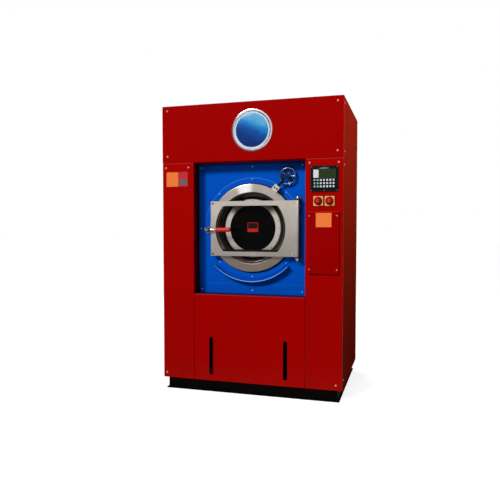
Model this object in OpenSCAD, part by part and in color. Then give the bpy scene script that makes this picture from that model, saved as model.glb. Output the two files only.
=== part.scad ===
// Dry cleaning machine with a front-loading drum.
// Origin: middle of the floor face of the base. +X to the right seen from the
// front, +Y to the back, +Z up. A depth d is counted from the front face of
// the column covers towards the back.

/* [Body] */
// Width of the casing
body_w = 1200; // [1140:10:1400]
// Depth of the casing, from column covers to rear panels
body_d = 860; // [780:10:1000]
// Height of the casing above the base
body_h = 1810; // [1790:10:1950]
// Thickness of the casing sheets
sheet_t = 2; // [1.5:0.5:3]
// Bend radius of the casing corners
bend_r = 4; // [3.5:0.5:6]
// Depth of the folded edges of the front covers
fold_d = 18; // [14:1:24]
// Gap between neighbouring casing sheets
seam = 1; // [0.5:0.5:2]
// Height of the top fascia
fascia_h = 373; // [330:1:400]
// How far the fascia stands proud of the columns
fascia_proud = 3; // [0:0.5:5]

/* [Base] */
// Height of the base channels
base_h = 75; // [60:1:120]
// Wall of the base channels
base_t = 5; // [4:0.5:8]
// Width of the base channel flanges
base_flange_w = 40; // [35:1:50]
// How far the side webs stand in from the casing
base_side_in = 30; // [20:1:40]
// How far the front and rear webs stand in from the casing
base_end_in = 20; // [15:1:30]
// Width of the outward foot lip
foot_lip_w = 12; // [6:1:14]
// Radius of the floor bolt holes
floor_hole_r = 9; // [6:0.5:12]

/* [Recess] */
// Distance of the recess floor below the drum axis
recess_below = 435; // [410:1:440]
// Width of the recess left of the tub flange
recess_left_room = 43; // [40:1:60]
// Width of the recess right of the tub flange
recess_right_room = 40; // [38:1:60]
// Depth of the recess to the drum front panel
recess_d = 100; // [90:1:110]
// Radius of the round tub flange
flange_r = 330; // [325:1:335]
// Thickness of the tub flange
flange_t = 4; // [3:0.5:6]
// Radius of the drip gutter, inside
gutter_r = 350; // [340:1:360]
// How far the drip gutter stands out
gutter_d = 50; // [30:1:55]
// Half angle of the drip gutter about its lowest point
gutter_half_angle = 45; // [30:1:50]
// Thickness of the drip gutter
gutter_t = 4; // [2:0.5:6]

/* [Mouth] */
// Distance of the drum axis below the fascia
axis_down = 430; // [422:1:440]
// Sideways place of the drum axis
axis_x = -5; // [-8:1:4]
// Inner radius of the front ring
ring_r = 232; // [230:1:236]
// Outer radius of the front ring
ring_outer_r = 288; // [280:1:291]
// Thickness of the front ring
ring_t = 21; // [16:1:24]

/* [Door] */
// Width of the door plate left of the drum axis
door_left_w = 269; // [266:1:275]
// Distance from the drum axis to the hinge axis
hinge_x = 312; // [308:1:316]
// Height of the door plate
door_h = 358; // [352:1:364]
// Sheet thickness of the door plate
door_t = 3; // [2:0.5:4]
// Depth of the door plate's front face
door_front_d = 40; // [36:1:42]
// Radius of the window's round sides
window_r = 236; // [228:1:240]
// Height of the window's flat cut
window_h = 298; // [280:1:304]
// Radius of the window's corners
window_corner_r = 9; // [4:1:14]
// Outer radius of the bowl rim
bowl_rim_r = 230; // [228:0.5:230]
// Radius of the bowl at its back
bowl_back_r = 198; // [196:1:204]
// Bend radius of the bowl
bowl_bend_r = 6; // [4:0.5:8]
// Depth of the bowl's back face
bowl_back_d = 116; // [112:1:118]
// Sheet thickness of the bowl
bowl_t = 2.5; // [2:0.5:3]
// Outer radius of the clamp ring
clamp_outer_r = 189; // [184:1:190]
// Inner radius of the clamp ring
clamp_inner_r = 155; // [148:1:160]
// Number of clamp ring screws
clamp_screws = 24; // [12:1:36]
// Thickness of the door glass
glass_t = 6; // [5:0.5:6]
// Radius of the hinge pin
hinge_pin_r = 8; // [6:0.5:9]

/* [Latch] */
// Place of the latch pivot below the drum axis
latch_drop = 11; // [5:1:20]
// Distance of the latch pivot from the drum axis
latch_x = 277; // [275:1:279]
// Length of the red grip
grip_l = 101; // [80:1:115]
// Radius of the red grip
grip_r = 14.5; // [12:0.5:16]
// Radius of the latch shaft
latch_shaft_r = 8; // [6:0.5:9]

/* [Handwheel] */
// Sideways place of the wheel from the drum axis
wheel_x = 242; // [238:1:250]
// Height of the wheel above the drum axis
wheel_z = 332; // [328:1:338]
// Outer radius of the wheel
wheel_r = 57.5; // [50:0.5:60]
// Radius of the wheel's rim section
wheel_rim_r = 6; // [4:0.5:8]
// Number of wheel spokes
wheel_spokes = 5; // [3:1:6]

/* [Controls] */
// Room beside the controller, on both sides together
control_side_room = 63; // [50:1:75]
// Height of the controller
control_h = 159; // [150:1:165]
// Columns of keys
key_columns = 7; // [5:1:7]
// Rows of keys
key_rows = 3; // [2:1:3]
// Side of the square switch plates
switch_w = 60; // [55:1:66]
// Radius of the switch knobs
knob_r = 21; // [16:1:24]
// How far the knobs stand out
knob_out = 40; // [30:1:45]
// Room beside the access panel, on both sides together
access_side_room = 40; // [36:1:60]
// Height of the access panel
access_h = 385; // [350:1:400]

/* [Drum] */
// Outer radius of the outer tub
tub_r = 420; // [415:1:425]
// Room between the basket and the outer tub
basket_room = 40; // [25:1:50]
// Room between the basket and the tub's front wall
basket_front_room = 22; // [18:1:30]
// Room between the basket and the end of the tub
basket_rear_room = 55; // [45:1:70]
// Number of lifters in the basket
lifters = 3; // [3:1:4]
// Radius of the drum shaft
shaft_r = 30; // [25:1:32]
// Length of the bearing housing
housing_l = 120; // [110:1:124]
// Room between the end of the shaft and the rear panels
rear_room = 43; // [30:1:60]

/* [Drive] */
// Pitch radius of the drum pulley
drum_pitch_r = 215; // [190:5:230]
// Pitch radius of the motor pulley
motor_pitch_r = 43; // [38:1:50]
// Number of belts
belts = 3; // [2:1:3]
// Radius of the motor body
motor_r = 112; // [100:1:114]
// Length of the motor body
motor_l = 312; // [280:1:330]
// Height of the motor shaft above its mount plate
motor_h = 132; // [130:1:140]

/* [Hidden] */
$fn = 96;
eps = 0.05;
run_gap = 0.08;
soft_gap = 0.3;

front_y = -body_d / 2;
half_w = body_w / 2;
casing_top = base_h + body_h;
fascia_bottom = casing_top - fascia_h;
recess_x0 = axis_x - flange_r - recess_left_room;
recess_x1 = axis_x + flange_r + recess_right_room;
axis_z = fascia_bottom - axis_down;
recess_floor = axis_z - recess_below;

// Frame bars
post_w = 50;
bar_t = 3;
bar_h = 40;
post_in = half_w - sheet_t - post_w;
post_top = casing_top - sheet_t;
rail_gap = 15;
rail_low_z = axis_z - tub_r - rail_gap - 7 - bar_h;
rail_high_z = axis_z + tub_r + rail_gap;
cross_rail_room = 360;
cross_rail_w = 60;
cross_rail_h = 40;
rear_split_z = rail_high_z + bar_h / 2;
vent_w = 160;
vent_h = 8;
vent_pitch = 22;
vent_rows_n = 8;
vent_x = 260;
vent_z = 420;
slot_w = 27;
slot_low_in = 39;
slot_h = 250;
slot_left_in = 119;
slot_right_in = 125;

// Depths of what is stacked in front of the drum
panel_d = recess_d;
flange_d = panel_d - flange_t;
ring_d = flange_d - ring_t;
mouth_r = ring_r + 8;
panel_over = 45;
tub_d = panel_d + sheet_t;
tub_t = 3;

// Door
window_drop = 5;
plate_drop = 4;
door_z0 = axis_z - door_h / 2 - plate_drop;
door_x0 = axis_x - door_left_w;
door_hinge_x = axis_x + hinge_x;
hinge_d = door_front_d + 8;
barrel_r = hinge_pin_r + 3;
door_back_d = ring_d - 5;
fold_t = door_t;
lug_gap = 0.5;
hinge_lug_t = 10;
hinge_low_z = door_z0 - lug_gap - hinge_lug_t;
hinge_high_z = door_z0 + door_h + lug_gap;
clamp_t = 4;
clamp_d = bowl_back_d - glass_t - soft_gap - clamp_t;
clamp_skirt_w = 16;
bowl_flange_r = clamp_inner_r + 5;
plate_bolt_in = 14;
plate_bolt_hinge_in = 30;
plate_bolt_r = 6;
gasket_w = 5.5;
gasket_t = 4.5;

// Latch
latch_pivot_x = axis_x - latch_x;
latch_pivot_z = axis_z - latch_drop;
lug_t = 12;
lug_d = door_front_d + door_t;
lug_h = 40;
lug_w = 52;
lever_d = 18;
lever_hub_r = 13;
tongue_d = lug_d + lug_t + 1;
tongue_t = 6;
tongue_h = 14;
tongue_l = 40;
grip_x0 = latch_pivot_x + 51;
grip_rod_r = 6;
keeper_t = 6;
keeper_w = 28;

// Handwheel, its arm and bracket
hub_x = axis_x + wheel_x;
hub_z = axis_z + wheel_z;
wheel_d = 77;
wheel_hub_r = 14;
wheel_hub_h = 20;
spindle_r = 6;
arm_r = 7.5;
arm_boss_r = 13;
arm_boss_l = 9;
arm_d = wheel_d - wheel_hub_h / 2 - 1 - arm_r - 2;
bracket_angle = 56;
bracket_r = 312;
bracket_l = 40;
bracket_w = 40;
bracket_t = 6;
bracket_d = arm_d - arm_r - bracket_t;
bracket_foot_l = 26;
bracket_foot_w = 30;
bracket_x = axis_x + bracket_r * cos(bracket_angle);
bracket_z = axis_z + bracket_r * sin(bracket_angle);
arm_angle = atan2(hub_z - bracket_z, hub_x - bracket_x);
arm_l = norm([hub_x - bracket_x, hub_z - bracket_z]) - bracket_foot_l / 2;

// Controls, placed on the right column
column_x = (recess_x1 + half_w) / 2;
control_w = half_w - recess_x1 - control_side_room;
control_x = column_x + 1.5;
control_down = 127;
control_z = fascia_bottom - control_down;
control_body_d = 46;
control_bezel_t = 6;
control_body_w = control_w - 36;
control_body_h = control_h - 24;
control_body_x = control_x - 12;
screen_w = control_w - 75;
screen_h = 50;
screen_x = control_x + 17;
screen_z = control_z + 30;
key_side_room = 55;
key_pitch = (control_w - key_side_room) / (key_columns - 1);
key_fill = 8 / 13;
key_size = key_pitch * key_fill;
key_z0 = control_z - 8.5;
switch_down = 263.5;
switch_z = fascia_bottom - switch_down;
switch_x0 = column_x - 36.5;
switch_pitch = 70;
switch_t = 4;
knob_spindle_r = 4;
knob_base_t = 12;
access_w = half_w - recess_x1 - access_side_room;
access_down = 520.5;
access_x = column_x - 4;
access_z = fascia_bottom - access_down;
access_t = 6;

// Belts and their wheels
belt_w = 9.4;
belt_h = 8;
groove_w = 10;
groove_pitch = 13;
pulley_gap = 12;
pulley_w = belts * groove_pitch + 2;
shaft_end = 4;

// Drum and drive, from the rear panels forward
shaft_back_d = body_d - rear_room;
pulley_d = shaft_back_d - shaft_end - pulley_w;
housing_back_d = pulley_d - pulley_gap;
tub_back_d = housing_back_d - housing_l;
housing_d = tub_back_d;
basket_t = 2;
basket_r = tub_r - basket_room;
basket_d = tub_d + basket_front_room;
basket_back_d = tub_back_d - basket_rear_room;
lip_r = mouth_r + 3;
lifter_h = 78;
lifter_w = 90;
lifter_tip_r = 13;
spider_t = 24;
bearing_w = 30;
bearing_r = 50;
mount_t = 8;
mount_in = 10;
mount_w = 410;
motor_z = base_h + mount_t + motor_h;
motor_belt_gap = 30;
motor_d1 = pulley_d - motor_belt_gap;
motor_d0 = motor_d1 - motor_l;
motor_shaft_r = 19;
support_t = 12;
support_in = 78;
support_d = [tub_d + support_in, tub_back_d - support_in - 2];
support_foot_x = cross_rail_room / 2 + 35;
support_outer_x = 340;

// Services at the back
drain_side = 155;
drain_x = axis_x + drain_side;
drain_r = 38;
drain_wall = 3;
drain_pipe_r = drain_r - 2;
drain_z = base_h + 75;
drain_in = 228;
drain_d = tub_d + drain_in;
drain_bend_r = 90;
drain_out = 60;
inlet_r = 13.2;
inlet_out = 25;
inlet_side = 200;
inlet_x = half_w - inlet_side;
inlet_pitch = 60;
service_up = 113;
service_z = rear_split_z + service_up;
gland_side = 180;
gland_x = -half_w + gland_side;
gland_r = 16;

// Screw heads: radius and height
panel_screw = [8, 4];
small_screw = [5, 2.5];
tiny_screw = [2.5, 1.5];

// ---------- helpers ----------

// A block between two corners, in x, depth and z
module block(x0, x1, d0, d1, z0, z1) {
    translate([x0, front_y + d0, z0]) cube([x1 - x0, d1 - d0, z1 - z0]);
}

// A flat outline drawn in x and z, from depth d0 to depth d1
module upright(d0, d1) {
    translate([0, front_y + d1, 0]) rotate([90, 0, 0]) linear_extrude(d1 - d0) children();
}

// A profile drawn in radius and depth, turned about the line through x, z
module turned(x, z) {
    translate([x, front_y, z]) rotate([-90, 0, 0]) rotate_extrude() children();
}

// A rod along the depth
module rod(x, z, r, d0, d1) {
    translate([x, front_y + d0, z]) rotate([-90, 0, 0]) cylinder(r = r, h = d1 - d0);
}

// A profile drawn in depth and z, from x0 to x1
module across(x0, x1) {
    translate([x0, front_y, 0]) rotate([90, 0, 90]) linear_extrude(x1 - x0) children();
}

// A rectangle between two corners with its corners rounded
module round_rect(x0, x1, y0, y1, r) {
    translate([x0 + r, y0]) square([x1 - x0 - 2 * r, y1 - y0]);
    translate([x0, y0 + r]) square([x1 - x0, y1 - y0 - 2 * r]);
    for (x = [x0 + r, x1 - r], y = [y0 + r, y1 - r]) translate([x, y]) circle(r = r);
}

// A folded cover seen from above: a front sheet with a short fold on each side
module folded_outline(x0, x1, d0, d1) {
    difference() {
        union() {
            round_rect(x0, x1, d0, d1, bend_r);
            translate([x0, d0 + bend_r]) square([x1 - x0, d1 - d0 - bend_r]);
        }
        translate([x0 + sheet_t, d0 + sheet_t]) square([x1 - x0 - 2 * sheet_t, d1 - d0]);
    }
}

// A dome screw head whose flat face lies at depth d, facing the front
module dome_head(x, d, z, size) {
    turned(x, z) intersection() {
        translate([0, d + (pow(size[0], 2) - pow(size[1], 2)) / (2 * size[1])])
            circle(r = (pow(size[0], 2) + pow(size[1], 2)) / (2 * size[1]));
        translate([0, d - size[1] - 1]) square([size[0], size[1] + 1]);
    }
}

// A square tube lying along the depth or across, between two corners
module tube_bar(x0, x1, d0, d1, z0, z1, along) {
    cut = [for (a = ["x", "d", "z"]) a == along ? -1 : bar_t];
    difference() {
        block(x0, x1, d0, d1, z0, z1);
        block(x0 + cut[0], x1 - cut[0], d0 + cut[1], d1 - cut[1], z0 + cut[2], z1 - cut[2]);
    }
}

// ---------- base and frame ----------

module base_end_rail() {
    web_x = half_w - base_side_in;
    d0 = base_end_in;
    d1 = d0 + base_flange_w;
    difference() {
        union() {
            block(-web_x, web_x, d0, d1, 0, base_h);
            block(-web_x - foot_lip_w, web_x + foot_lip_w, d0 - foot_lip_w, d1, 0, base_t);
        }
        block(-web_x + base_t, web_x - base_t, d0 + base_t, d1 + 1, base_t, base_h - base_t);
        for (side = [-1, 1])
            translate([side * (web_x - 50), front_y + d0 + base_flange_w * 0.625, -1])
                cylinder(r = floor_hole_r, h = base_t + 2);
    }
}

module base_end_rails() {
    color("#161616") {
        base_end_rail();
        mirror([0, 1, 0]) base_end_rail();
    }
}

module base_side_rail() {
    web_x = half_w - base_side_in;
    d0 = base_end_in + base_flange_w;
    d1 = body_d - d0;
    difference() {
        union() {
            block(web_x - base_flange_w, web_x, d0, d1, 0, base_h);
            block(web_x - base_flange_w, web_x + foot_lip_w, d0, d1, 0, base_t);
        }
        block(web_x - base_flange_w - 1, web_x - base_t, d0 - 1, d1 + 1, base_t, base_h - base_t);
    }
}

module base_side_rails() {
    color("#161616") {
        base_side_rail();
        mirror([1, 0, 0]) base_side_rail();
    }
}

module base_cross_rails() {
    d0 = base_end_in + base_flange_w;
    color("#222222")
        for (side = [-1, 1]) {
            x = axis_x + side * (cross_rail_room + cross_rail_w) / 2;
            tube_bar(x - cross_rail_w / 2, x + cross_rail_w / 2,
                     d0, body_d - d0, base_h - cross_rail_h, base_h, "d");
        }
}

module frame_posts() {
    d_back = body_d - sheet_t;
    color("#3a3d40")
        for (side = [-1, 1], d0 = [sheet_t, d_back - post_w]) {
            x0 = side > 0 ? post_in : -post_in - post_w;
            tube_bar(x0, x0 + post_w, d0, d0 + post_w, base_h, post_top, "z");
        }
}

module frame_side_rails() {
    d0 = sheet_t + post_w;
    d1 = body_d - sheet_t - post_w;
    color("#3a3d40")
        for (side = [-1, 1], z0 = [rail_low_z, rail_high_z, post_top - bar_h]) {
            x0 = side > 0 ? post_in : -post_in - post_w;
            tube_bar(x0, x0 + post_w, d0, d1, z0, z0 + bar_h, "d");
        }
}

module frame_cross_rails() {
    back = body_d - sheet_t - bar_h;
    places = [
        [tub_d, rail_low_z], [tub_d, rail_high_z],
        [back, rail_low_z], [back, rail_high_z],
        [sheet_t, post_top - bar_h], [back, post_top - bar_h]
    ];
    color("#3a3d40")
        for (p = places)
            tube_bar(-post_in, post_in, p[0], p[0] + bar_h, p[1], p[1] + bar_h, "x");
}

// ---------- casing ----------

module left_column_cover() {
    color("#b40a08") {
        translate([0, front_y, base_h]) linear_extrude(fascia_bottom - seam - base_h)
            folded_outline(-half_w, recess_x0, 0, fold_d);
        block(recess_x0 - sheet_t, recess_x0, fold_d - 1, panel_d, recess_floor, fascia_bottom - seam);
    }
}

module right_column_cover() {
    color("#b40a08") difference() {
        union() {
            translate([0, front_y, base_h]) linear_extrude(fascia_bottom - seam - base_h)
                folded_outline(recess_x1, half_w, 0, fold_d);
            block(recess_x1, recess_x1 + sheet_t, fold_d - 1, panel_d,
                  recess_floor, fascia_bottom - seam);
        }
        block(control_body_x - control_body_w / 2 - eps, control_body_x + control_body_w / 2 + eps,
              -1, sheet_t + 1,
              control_z - control_body_h / 2 - eps, control_z + control_body_h / 2 + eps);
    }
}

module top_fascia() {
    d0 = -fascia_proud;
    color("#b40a08") {
        translate([0, front_y, fascia_bottom]) linear_extrude(fascia_h)
            folded_outline(-half_w, half_w, d0, fold_d);
        // top fold, and the roof of the recess
        block(-half_w + bend_r, half_w - bend_r, d0 + sheet_t / 2, fold_d,
              casing_top - sheet_t, casing_top);
        block(recess_x0, recess_x1, d0 + sheet_t / 2, panel_d,
              fascia_bottom, fascia_bottom + sheet_t);
    }
}

module slot_outline(x) {
    slot_r = slot_w / 2;
    slot_low = base_h + slot_low_in + slot_r;
    slot_high = slot_low + slot_h - slot_w;
    translate([x - slot_r, slot_low]) square([2 * slot_r, slot_high - slot_low]);
    for (z = [slot_low, slot_high]) translate([x, z]) circle(r = slot_r);
}

module lower_front_panel() {
    slot_x = [recess_x0 + slot_left_in, recess_x1 - slot_right_in];
    color("#a00604") difference() {
        across(recess_x0 + seam, recess_x1 - seam) difference() {
            union() {
                translate([0, base_h]) square([panel_d, recess_floor - bend_r - base_h]);
                translate([bend_r, base_h]) square([panel_d - bend_r, recess_floor - base_h]);
                translate([bend_r, recess_floor - bend_r]) circle(r = bend_r);
            }
            translate([sheet_t, base_h - 1])
                square([panel_d, recess_floor - sheet_t - base_h + 1]);
        }
        upright(-1, sheet_t + 1) for (x = slot_x) slot_outline(x);
    }
}

module side_panel() {
    block(half_w - sheet_t, half_w, fold_d + 2 * seam, body_d, base_h, casing_top);
}

module right_side_panel() {
    color("#a51d17") side_panel();
}

module left_side_panel() {
    color("#a51d17") mirror([1, 0, 0]) side_panel();
}

module top_cover() {
    color("#a51d17")
        block(-half_w + sheet_t, half_w - sheet_t, fold_d + seam, body_d,
              post_top, casing_top);
}

module vent_rows(x, z, rows) {
    for (i = [0 : rows - 1])
        translate([x - vent_w / 2, z + i * vent_pitch]) square([vent_w, vent_h]);
}

module rear_lower_panel() {
    color("#8f1712") upright(body_d - sheet_t, body_d) difference() {
        translate([-half_w + sheet_t, base_h])
            square([body_w - 2 * sheet_t, rear_split_z - base_h]);
        for (x = [-vent_x, vent_x]) vent_rows(x, base_h + vent_z, vent_rows_n);
        translate([drain_x, drain_z]) circle(r = drain_r + 1);
    }
}

module rear_upper_panel() {
    color("#8f1712") upright(body_d - sheet_t, body_d) difference() {
        translate([-half_w + sheet_t, rear_split_z + seam])
            square([body_w - 2 * sheet_t, post_top - rear_split_z - seam]);
        for (i = [0, 1])
            translate([inlet_x - i * inlet_pitch, service_z]) circle(r = inlet_r + 0.5);
        translate([gland_x, service_z]) circle(r = gland_r + 0.5);
    }
}

module access_panel() {
    color("#b40a08") difference() {
        upright(-access_t, 0)
            round_rect(access_x - access_w / 2, access_x + access_w / 2,
                       access_z - access_h / 2, access_z + access_h / 2, 3);
        block(access_x - access_w / 2 + sheet_t, access_x + access_w / 2 - sheet_t,
              -access_t + sheet_t, 1,
              access_z - access_h / 2 + sheet_t, access_z + access_h / 2 - sheet_t);
    }
}

// ---------- round mouth of the drum ----------

module drum_front_panel() {
    over = 12;
    color("#0a4fb8") upright(panel_d, panel_d + sheet_t) difference() {
        translate([recess_x0 - over, rail_low_z])
            square([recess_x1 - recess_x0 + 2 * over, fascia_bottom + panel_over - rail_low_z]);
        translate([axis_x, axis_z]) circle(r = mouth_r);
    }
}

module tub_flange() {
    color("#0a4fb8") turned(axis_x, axis_z)
        translate([ring_r + 4, flange_d]) square([flange_r - ring_r - 4, flange_t]);
}

module front_ring() {
    lip = 5;
    edge = 3;
    color("#b8b2aa") turned(axis_x, axis_z) {
        translate([ring_r + lip, ring_d]) square([ring_outer_r - ring_r - lip - edge, ring_t]);
        translate([ring_r, ring_d + lip]) square([lip + 1, ring_t - lip]);
        translate([ring_r + lip, ring_d + lip]) circle(r = lip);
        translate([ring_outer_r - edge - 1, ring_d + edge]) square([edge + 1, ring_t - edge]);
        translate([ring_outer_r - edge, ring_d + edge]) circle(r = edge);
    }
}

module door_seal() {
    seal_w = 6;
    color("#1b1b1d") turned(axis_x, axis_z)
        round_rect(ring_r - seal_w, ring_r - eps, ring_d + 6, flange_d - 2, 2);
}

// A curved strip whose front edge is rolled into a hem
module drip_gutter() {
    front_d = panel_d - gutter_d;
    hem_r = gutter_t / 2 + 2.5;
    reach = gutter_r * 2;
    color("#0f55bf") intersection() {
        turned(axis_x, axis_z) {
            translate([gutter_r, front_d + hem_r]) square([gutter_t, gutter_d - hem_r]);
            translate([gutter_r + gutter_t / 2, front_d + hem_r]) circle(r = hem_r);
        }
        upright(front_d - 1, panel_d + 1) translate([axis_x, axis_z]) polygon([
            [0, 0],
            [reach * sin(gutter_half_angle), -reach * cos(gutter_half_angle)],
            [-reach * sin(gutter_half_angle), -reach * cos(gutter_half_angle)]
        ]);
    }
}

module hinge_bracket(z) {
    foot_w = 34;
    foot_h = 40;
    foot_t = 6;
    lug_r = hinge_pin_r + 6;
    difference() {
        union() {
            block(door_hinge_x - foot_w / 2, door_hinge_x + foot_w / 2,
                  panel_d - foot_t, panel_d,
                  z + hinge_lug_t / 2 - foot_h / 2, z + hinge_lug_t / 2 + foot_h / 2);
            block(door_hinge_x - lug_r, door_hinge_x + lug_r, hinge_d, panel_d - foot_t,
                  z, z + hinge_lug_t);
            translate([door_hinge_x, front_y + hinge_d, z]) cylinder(r = lug_r, h = hinge_lug_t);
        }
        translate([door_hinge_x, front_y + hinge_d, z - 1])
            cylinder(r = hinge_pin_r + eps, h = hinge_lug_t + 2);
    }
}

module hinge_brackets() {
    color("#2b2c2e") {
        hinge_bracket(hinge_low_z);
        hinge_bracket(hinge_high_z);
    }
}

module hinge_pin() {
    cap_r = hinge_pin_r + 4;
    cap_h = 9;
    color("#d8d8d8") translate([door_hinge_x, front_y + hinge_d, 0]) {
        translate([0, 0, hinge_low_z])
            cylinder(r = hinge_pin_r, h = hinge_high_z + hinge_lug_t - hinge_low_z);
        for (up = [0, 1])
            translate([0, 0, up ? hinge_high_z + hinge_lug_t : hinge_low_z])
                mirror([0, 0, 1 - up]) {
                    cylinder(r = cap_r, h = cap_h);
                    translate([0, 0, cap_h]) intersection() {
                        sphere(r = cap_r - 2);
                        cylinder(r = cap_r, h = cap_r);
                    }
                }
    }
}

module latch_keeper() {
    x1 = latch_pivot_x - 15;
    x0 = x1 - keeper_w;
    roof_z = latch_pivot_z + tongue_h / 2 + 1;
    color("#9a9a98") {
        block(x0, x1, flange_d - keeper_t, flange_d, latch_pivot_z - 26, roof_z + keeper_t);
        block(x0, x1, tongue_d - lug_gap, flange_d - keeper_t, roof_z, roof_z + keeper_t);
    }
}

// A block on the tub flange, under a plate, whose outer side carries the arm
module wheel_bracket() {
    plate_in = 6;
    color("#bdb9b2") translate([bracket_x, 0, bracket_z]) rotate([0, -arm_angle, 0]) {
        upright(bracket_d, bracket_d + bracket_t)
            round_rect(-bracket_l / 2 - plate_in, bracket_l / 2 - plate_in,
                       -bracket_w / 2, bracket_w / 2, 3);
        block(-bracket_foot_l / 2, bracket_foot_l / 2, bracket_d + bracket_t, flange_d,
              -bracket_foot_w / 2, bracket_foot_w / 2);
    }
}

module wheel_arm() {
    hub_front_d = wheel_d - wheel_hub_h / 2 - 1;
    hub_back_d = wheel_d + wheel_hub_h / 2 + 0.5;
    color("#1c1d22") {
        rod(hub_x, hub_z, arm_boss_r, arm_d - arm_boss_l, hub_front_d);
        rod(hub_x, hub_z, spindle_r, hub_front_d - 0.5, hub_back_d + 5);
        rod(hub_x, hub_z, spindle_r + 5, hub_back_d, hub_back_d + 5);
        translate([bracket_x, front_y + arm_d, bracket_z]) rotate([0, 90 - arm_angle, 0])
            translate([0, 0, bracket_foot_l / 2]) cylinder(r = arm_r, h = arm_l);
    }
}

module handwheel() {
    rim_r = wheel_r - wheel_rim_r;
    color("#c9c9cc") difference() {
        union() {
            turned(hub_x, hub_z) translate([rim_r, wheel_d]) circle(r = wheel_rim_r, $fn = 48);
            rod(hub_x, hub_z, wheel_hub_r, wheel_d - wheel_hub_h / 2, wheel_d + wheel_hub_h / 2);
            for (i = [0 : wheel_spokes - 1])
                translate([hub_x, front_y + wheel_d, hub_z]) rotate([0, 90 + i * 360 / wheel_spokes, 0])
                    cylinder(r = 3.5, h = rim_r);
        }
        rod(hub_x, hub_z, spindle_r + run_gap, wheel_d - wheel_hub_h, wheel_d + wheel_hub_h);
    }
}

// ---------- controls ----------

module controller_case() {
    color("#101214") difference() {
        union() {
            upright(-control_bezel_t, 0)
                round_rect(control_x - control_w / 2, control_x + control_w / 2,
                           control_z - control_h / 2, control_z + control_h / 2, 4);
            block(control_body_x - control_body_w / 2, control_body_x + control_body_w / 2,
                  -1, control_body_d,
                  control_z - control_body_h / 2, control_z + control_body_h / 2);
        }
        block(screen_x - screen_w / 2 - eps, screen_x + screen_w / 2 + eps,
              -control_bezel_t - 1, -control_bezel_t + 2,
              screen_z - screen_h / 2 - eps, screen_z + screen_h / 2 + eps);
    }
}

module controller_screen() {
    color("#2f4030")
        block(screen_x - screen_w / 2, screen_x + screen_w / 2,
              -control_bezel_t + 0.8, -control_bezel_t + 2,
              screen_z - screen_h / 2, screen_z + screen_h / 2);
}

module controller_keys() {
    key_t = 1.5;
    x0 = control_x - key_pitch * (key_columns - 1) / 2 - 2;
    color("#e8e8e8")
        for (i = [0 : key_columns - 1], j = [0 : key_rows - 1]) {
            x = x0 + i * key_pitch;
            z = key_z0 - j * key_pitch;
            upright(-control_bezel_t - key_t, -control_bezel_t)
                round_rect(x - key_size / 2, x + key_size / 2,
                           z - key_size / 2, z + key_size / 2, 2);
        }
}

function switch_x(i) = switch_x0 + i * switch_pitch;

module switch_plates() {
    color("#f0b050") upright(-switch_t, 0)
        for (i = [0, 1]) difference() {
            round_rect(switch_x(i) - switch_w / 2, switch_x(i) + switch_w / 2,
                       switch_z - switch_w / 2, switch_z + switch_w / 2, 5);
            translate([switch_x(i), switch_z]) circle(r = knob_spindle_r + run_gap);
        }
}

module switch_knob(x) {
    face_d = -switch_t - 0.5;
    bar_w = 15;
    bar_l = knob_r * 2 - 6;
    color("#c8140c") {
        rod(x, switch_z, knob_spindle_r, face_d - 1, -0.5);
        turned(x, switch_z) {
            translate([0, face_d - knob_base_t + 3]) square([knob_r, knob_base_t - 3]);
            translate([0, face_d - knob_base_t]) square([knob_r - 3, knob_base_t]);
            translate([knob_r - 3, face_d - knob_base_t + 3]) circle(r = 3);
        }
        upright(-knob_out, face_d - knob_base_t + 1)
            round_rect(x - bar_w / 2, x + bar_w / 2, switch_z - bar_l / 2, switch_z + bar_l / 2, 6);
    }
}

module left_switch_knob() {
    switch_knob(switch_x(0));
}

module right_switch_knob() {
    switch_knob(switch_x(1));
}

// ---------- screws ----------

module side_screws(d, z) {
    for (side = [-1, 1])
        translate([side * half_w, front_y + d, z]) rotate([0, side * 90, 0])
            cylinder(r1 = panel_screw[0] - 2, r2 = panel_screw[0] - 4, h = 2.5);
}

module casing_screws() {
    fx = half_w - 37;
    color("#d9c9c2") {
        for (x = [-fx, fx], z = [fascia_bottom + 42, casing_top - 31])
            dome_head(x, -fascia_proud, z, panel_screw);
        for (x = [-half_w + 25, recess_x0 - 37]) dome_head(x, 0, fascia_bottom - 32, panel_screw);
        for (x = [recess_x1 + 26, half_w - 30]) dome_head(x, 0, fascia_bottom - 28, panel_screw);
        for (x = [-half_w + 24, half_w - 39]) dome_head(x, 0, base_h + 33, panel_screw);
        for (x = [-1, 1], z = [-1, 1])
            dome_head(access_x + x * (access_w / 2 - 12), -access_t,
                      access_z + z * (access_h / 2 - 27), small_screw);
        for (x = [-1, 0, 1], z = [-1, 1])
            dome_head(control_x + x * (control_w / 2 - 7), -control_bezel_t,
                      control_z + z * (control_h / 2 - 7), tiny_screw);
        for (z = [base_h + 60, fascia_bottom - 40, fascia_bottom + 40, casing_top - 40])
            side_screws(fold_d + 28, z);
        for (z = [base_h + 60, recess_floor, fascia_bottom, casing_top - 40])
            side_screws(body_d - 27, z);
        for (x = [-half_w + 27, 0, half_w - 27],
             z = [base_h + 60, rear_split_z - 12, rear_split_z + 14, casing_top - 22])
            if (x != 0 || z > rear_split_z - 20)
                mirror([0, 1, 0]) dome_head(x, 0, z, small_screw);
    }
}

module front_panel_screws() {
    color("#9db4d8") {
        for (x = [recess_x0 + 18, axis_x, recess_x1 - 36], z = [recess_floor + 23, fascia_bottom - 27])
            dome_head(x, panel_d, z, small_screw);
        dome_head(recess_x0 + 14, panel_d, axis_z - 3, small_screw);
        for (a = [0 : 45 : 315])
            if (a != 90 && a != 270)
                dome_head(axis_x + (flange_r - 9) * sin(a), flange_d,
                          axis_z + (flange_r - 9) * cos(a), [4, 2]);
    }
}

// ---------- tub, drum and drive ----------

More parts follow.
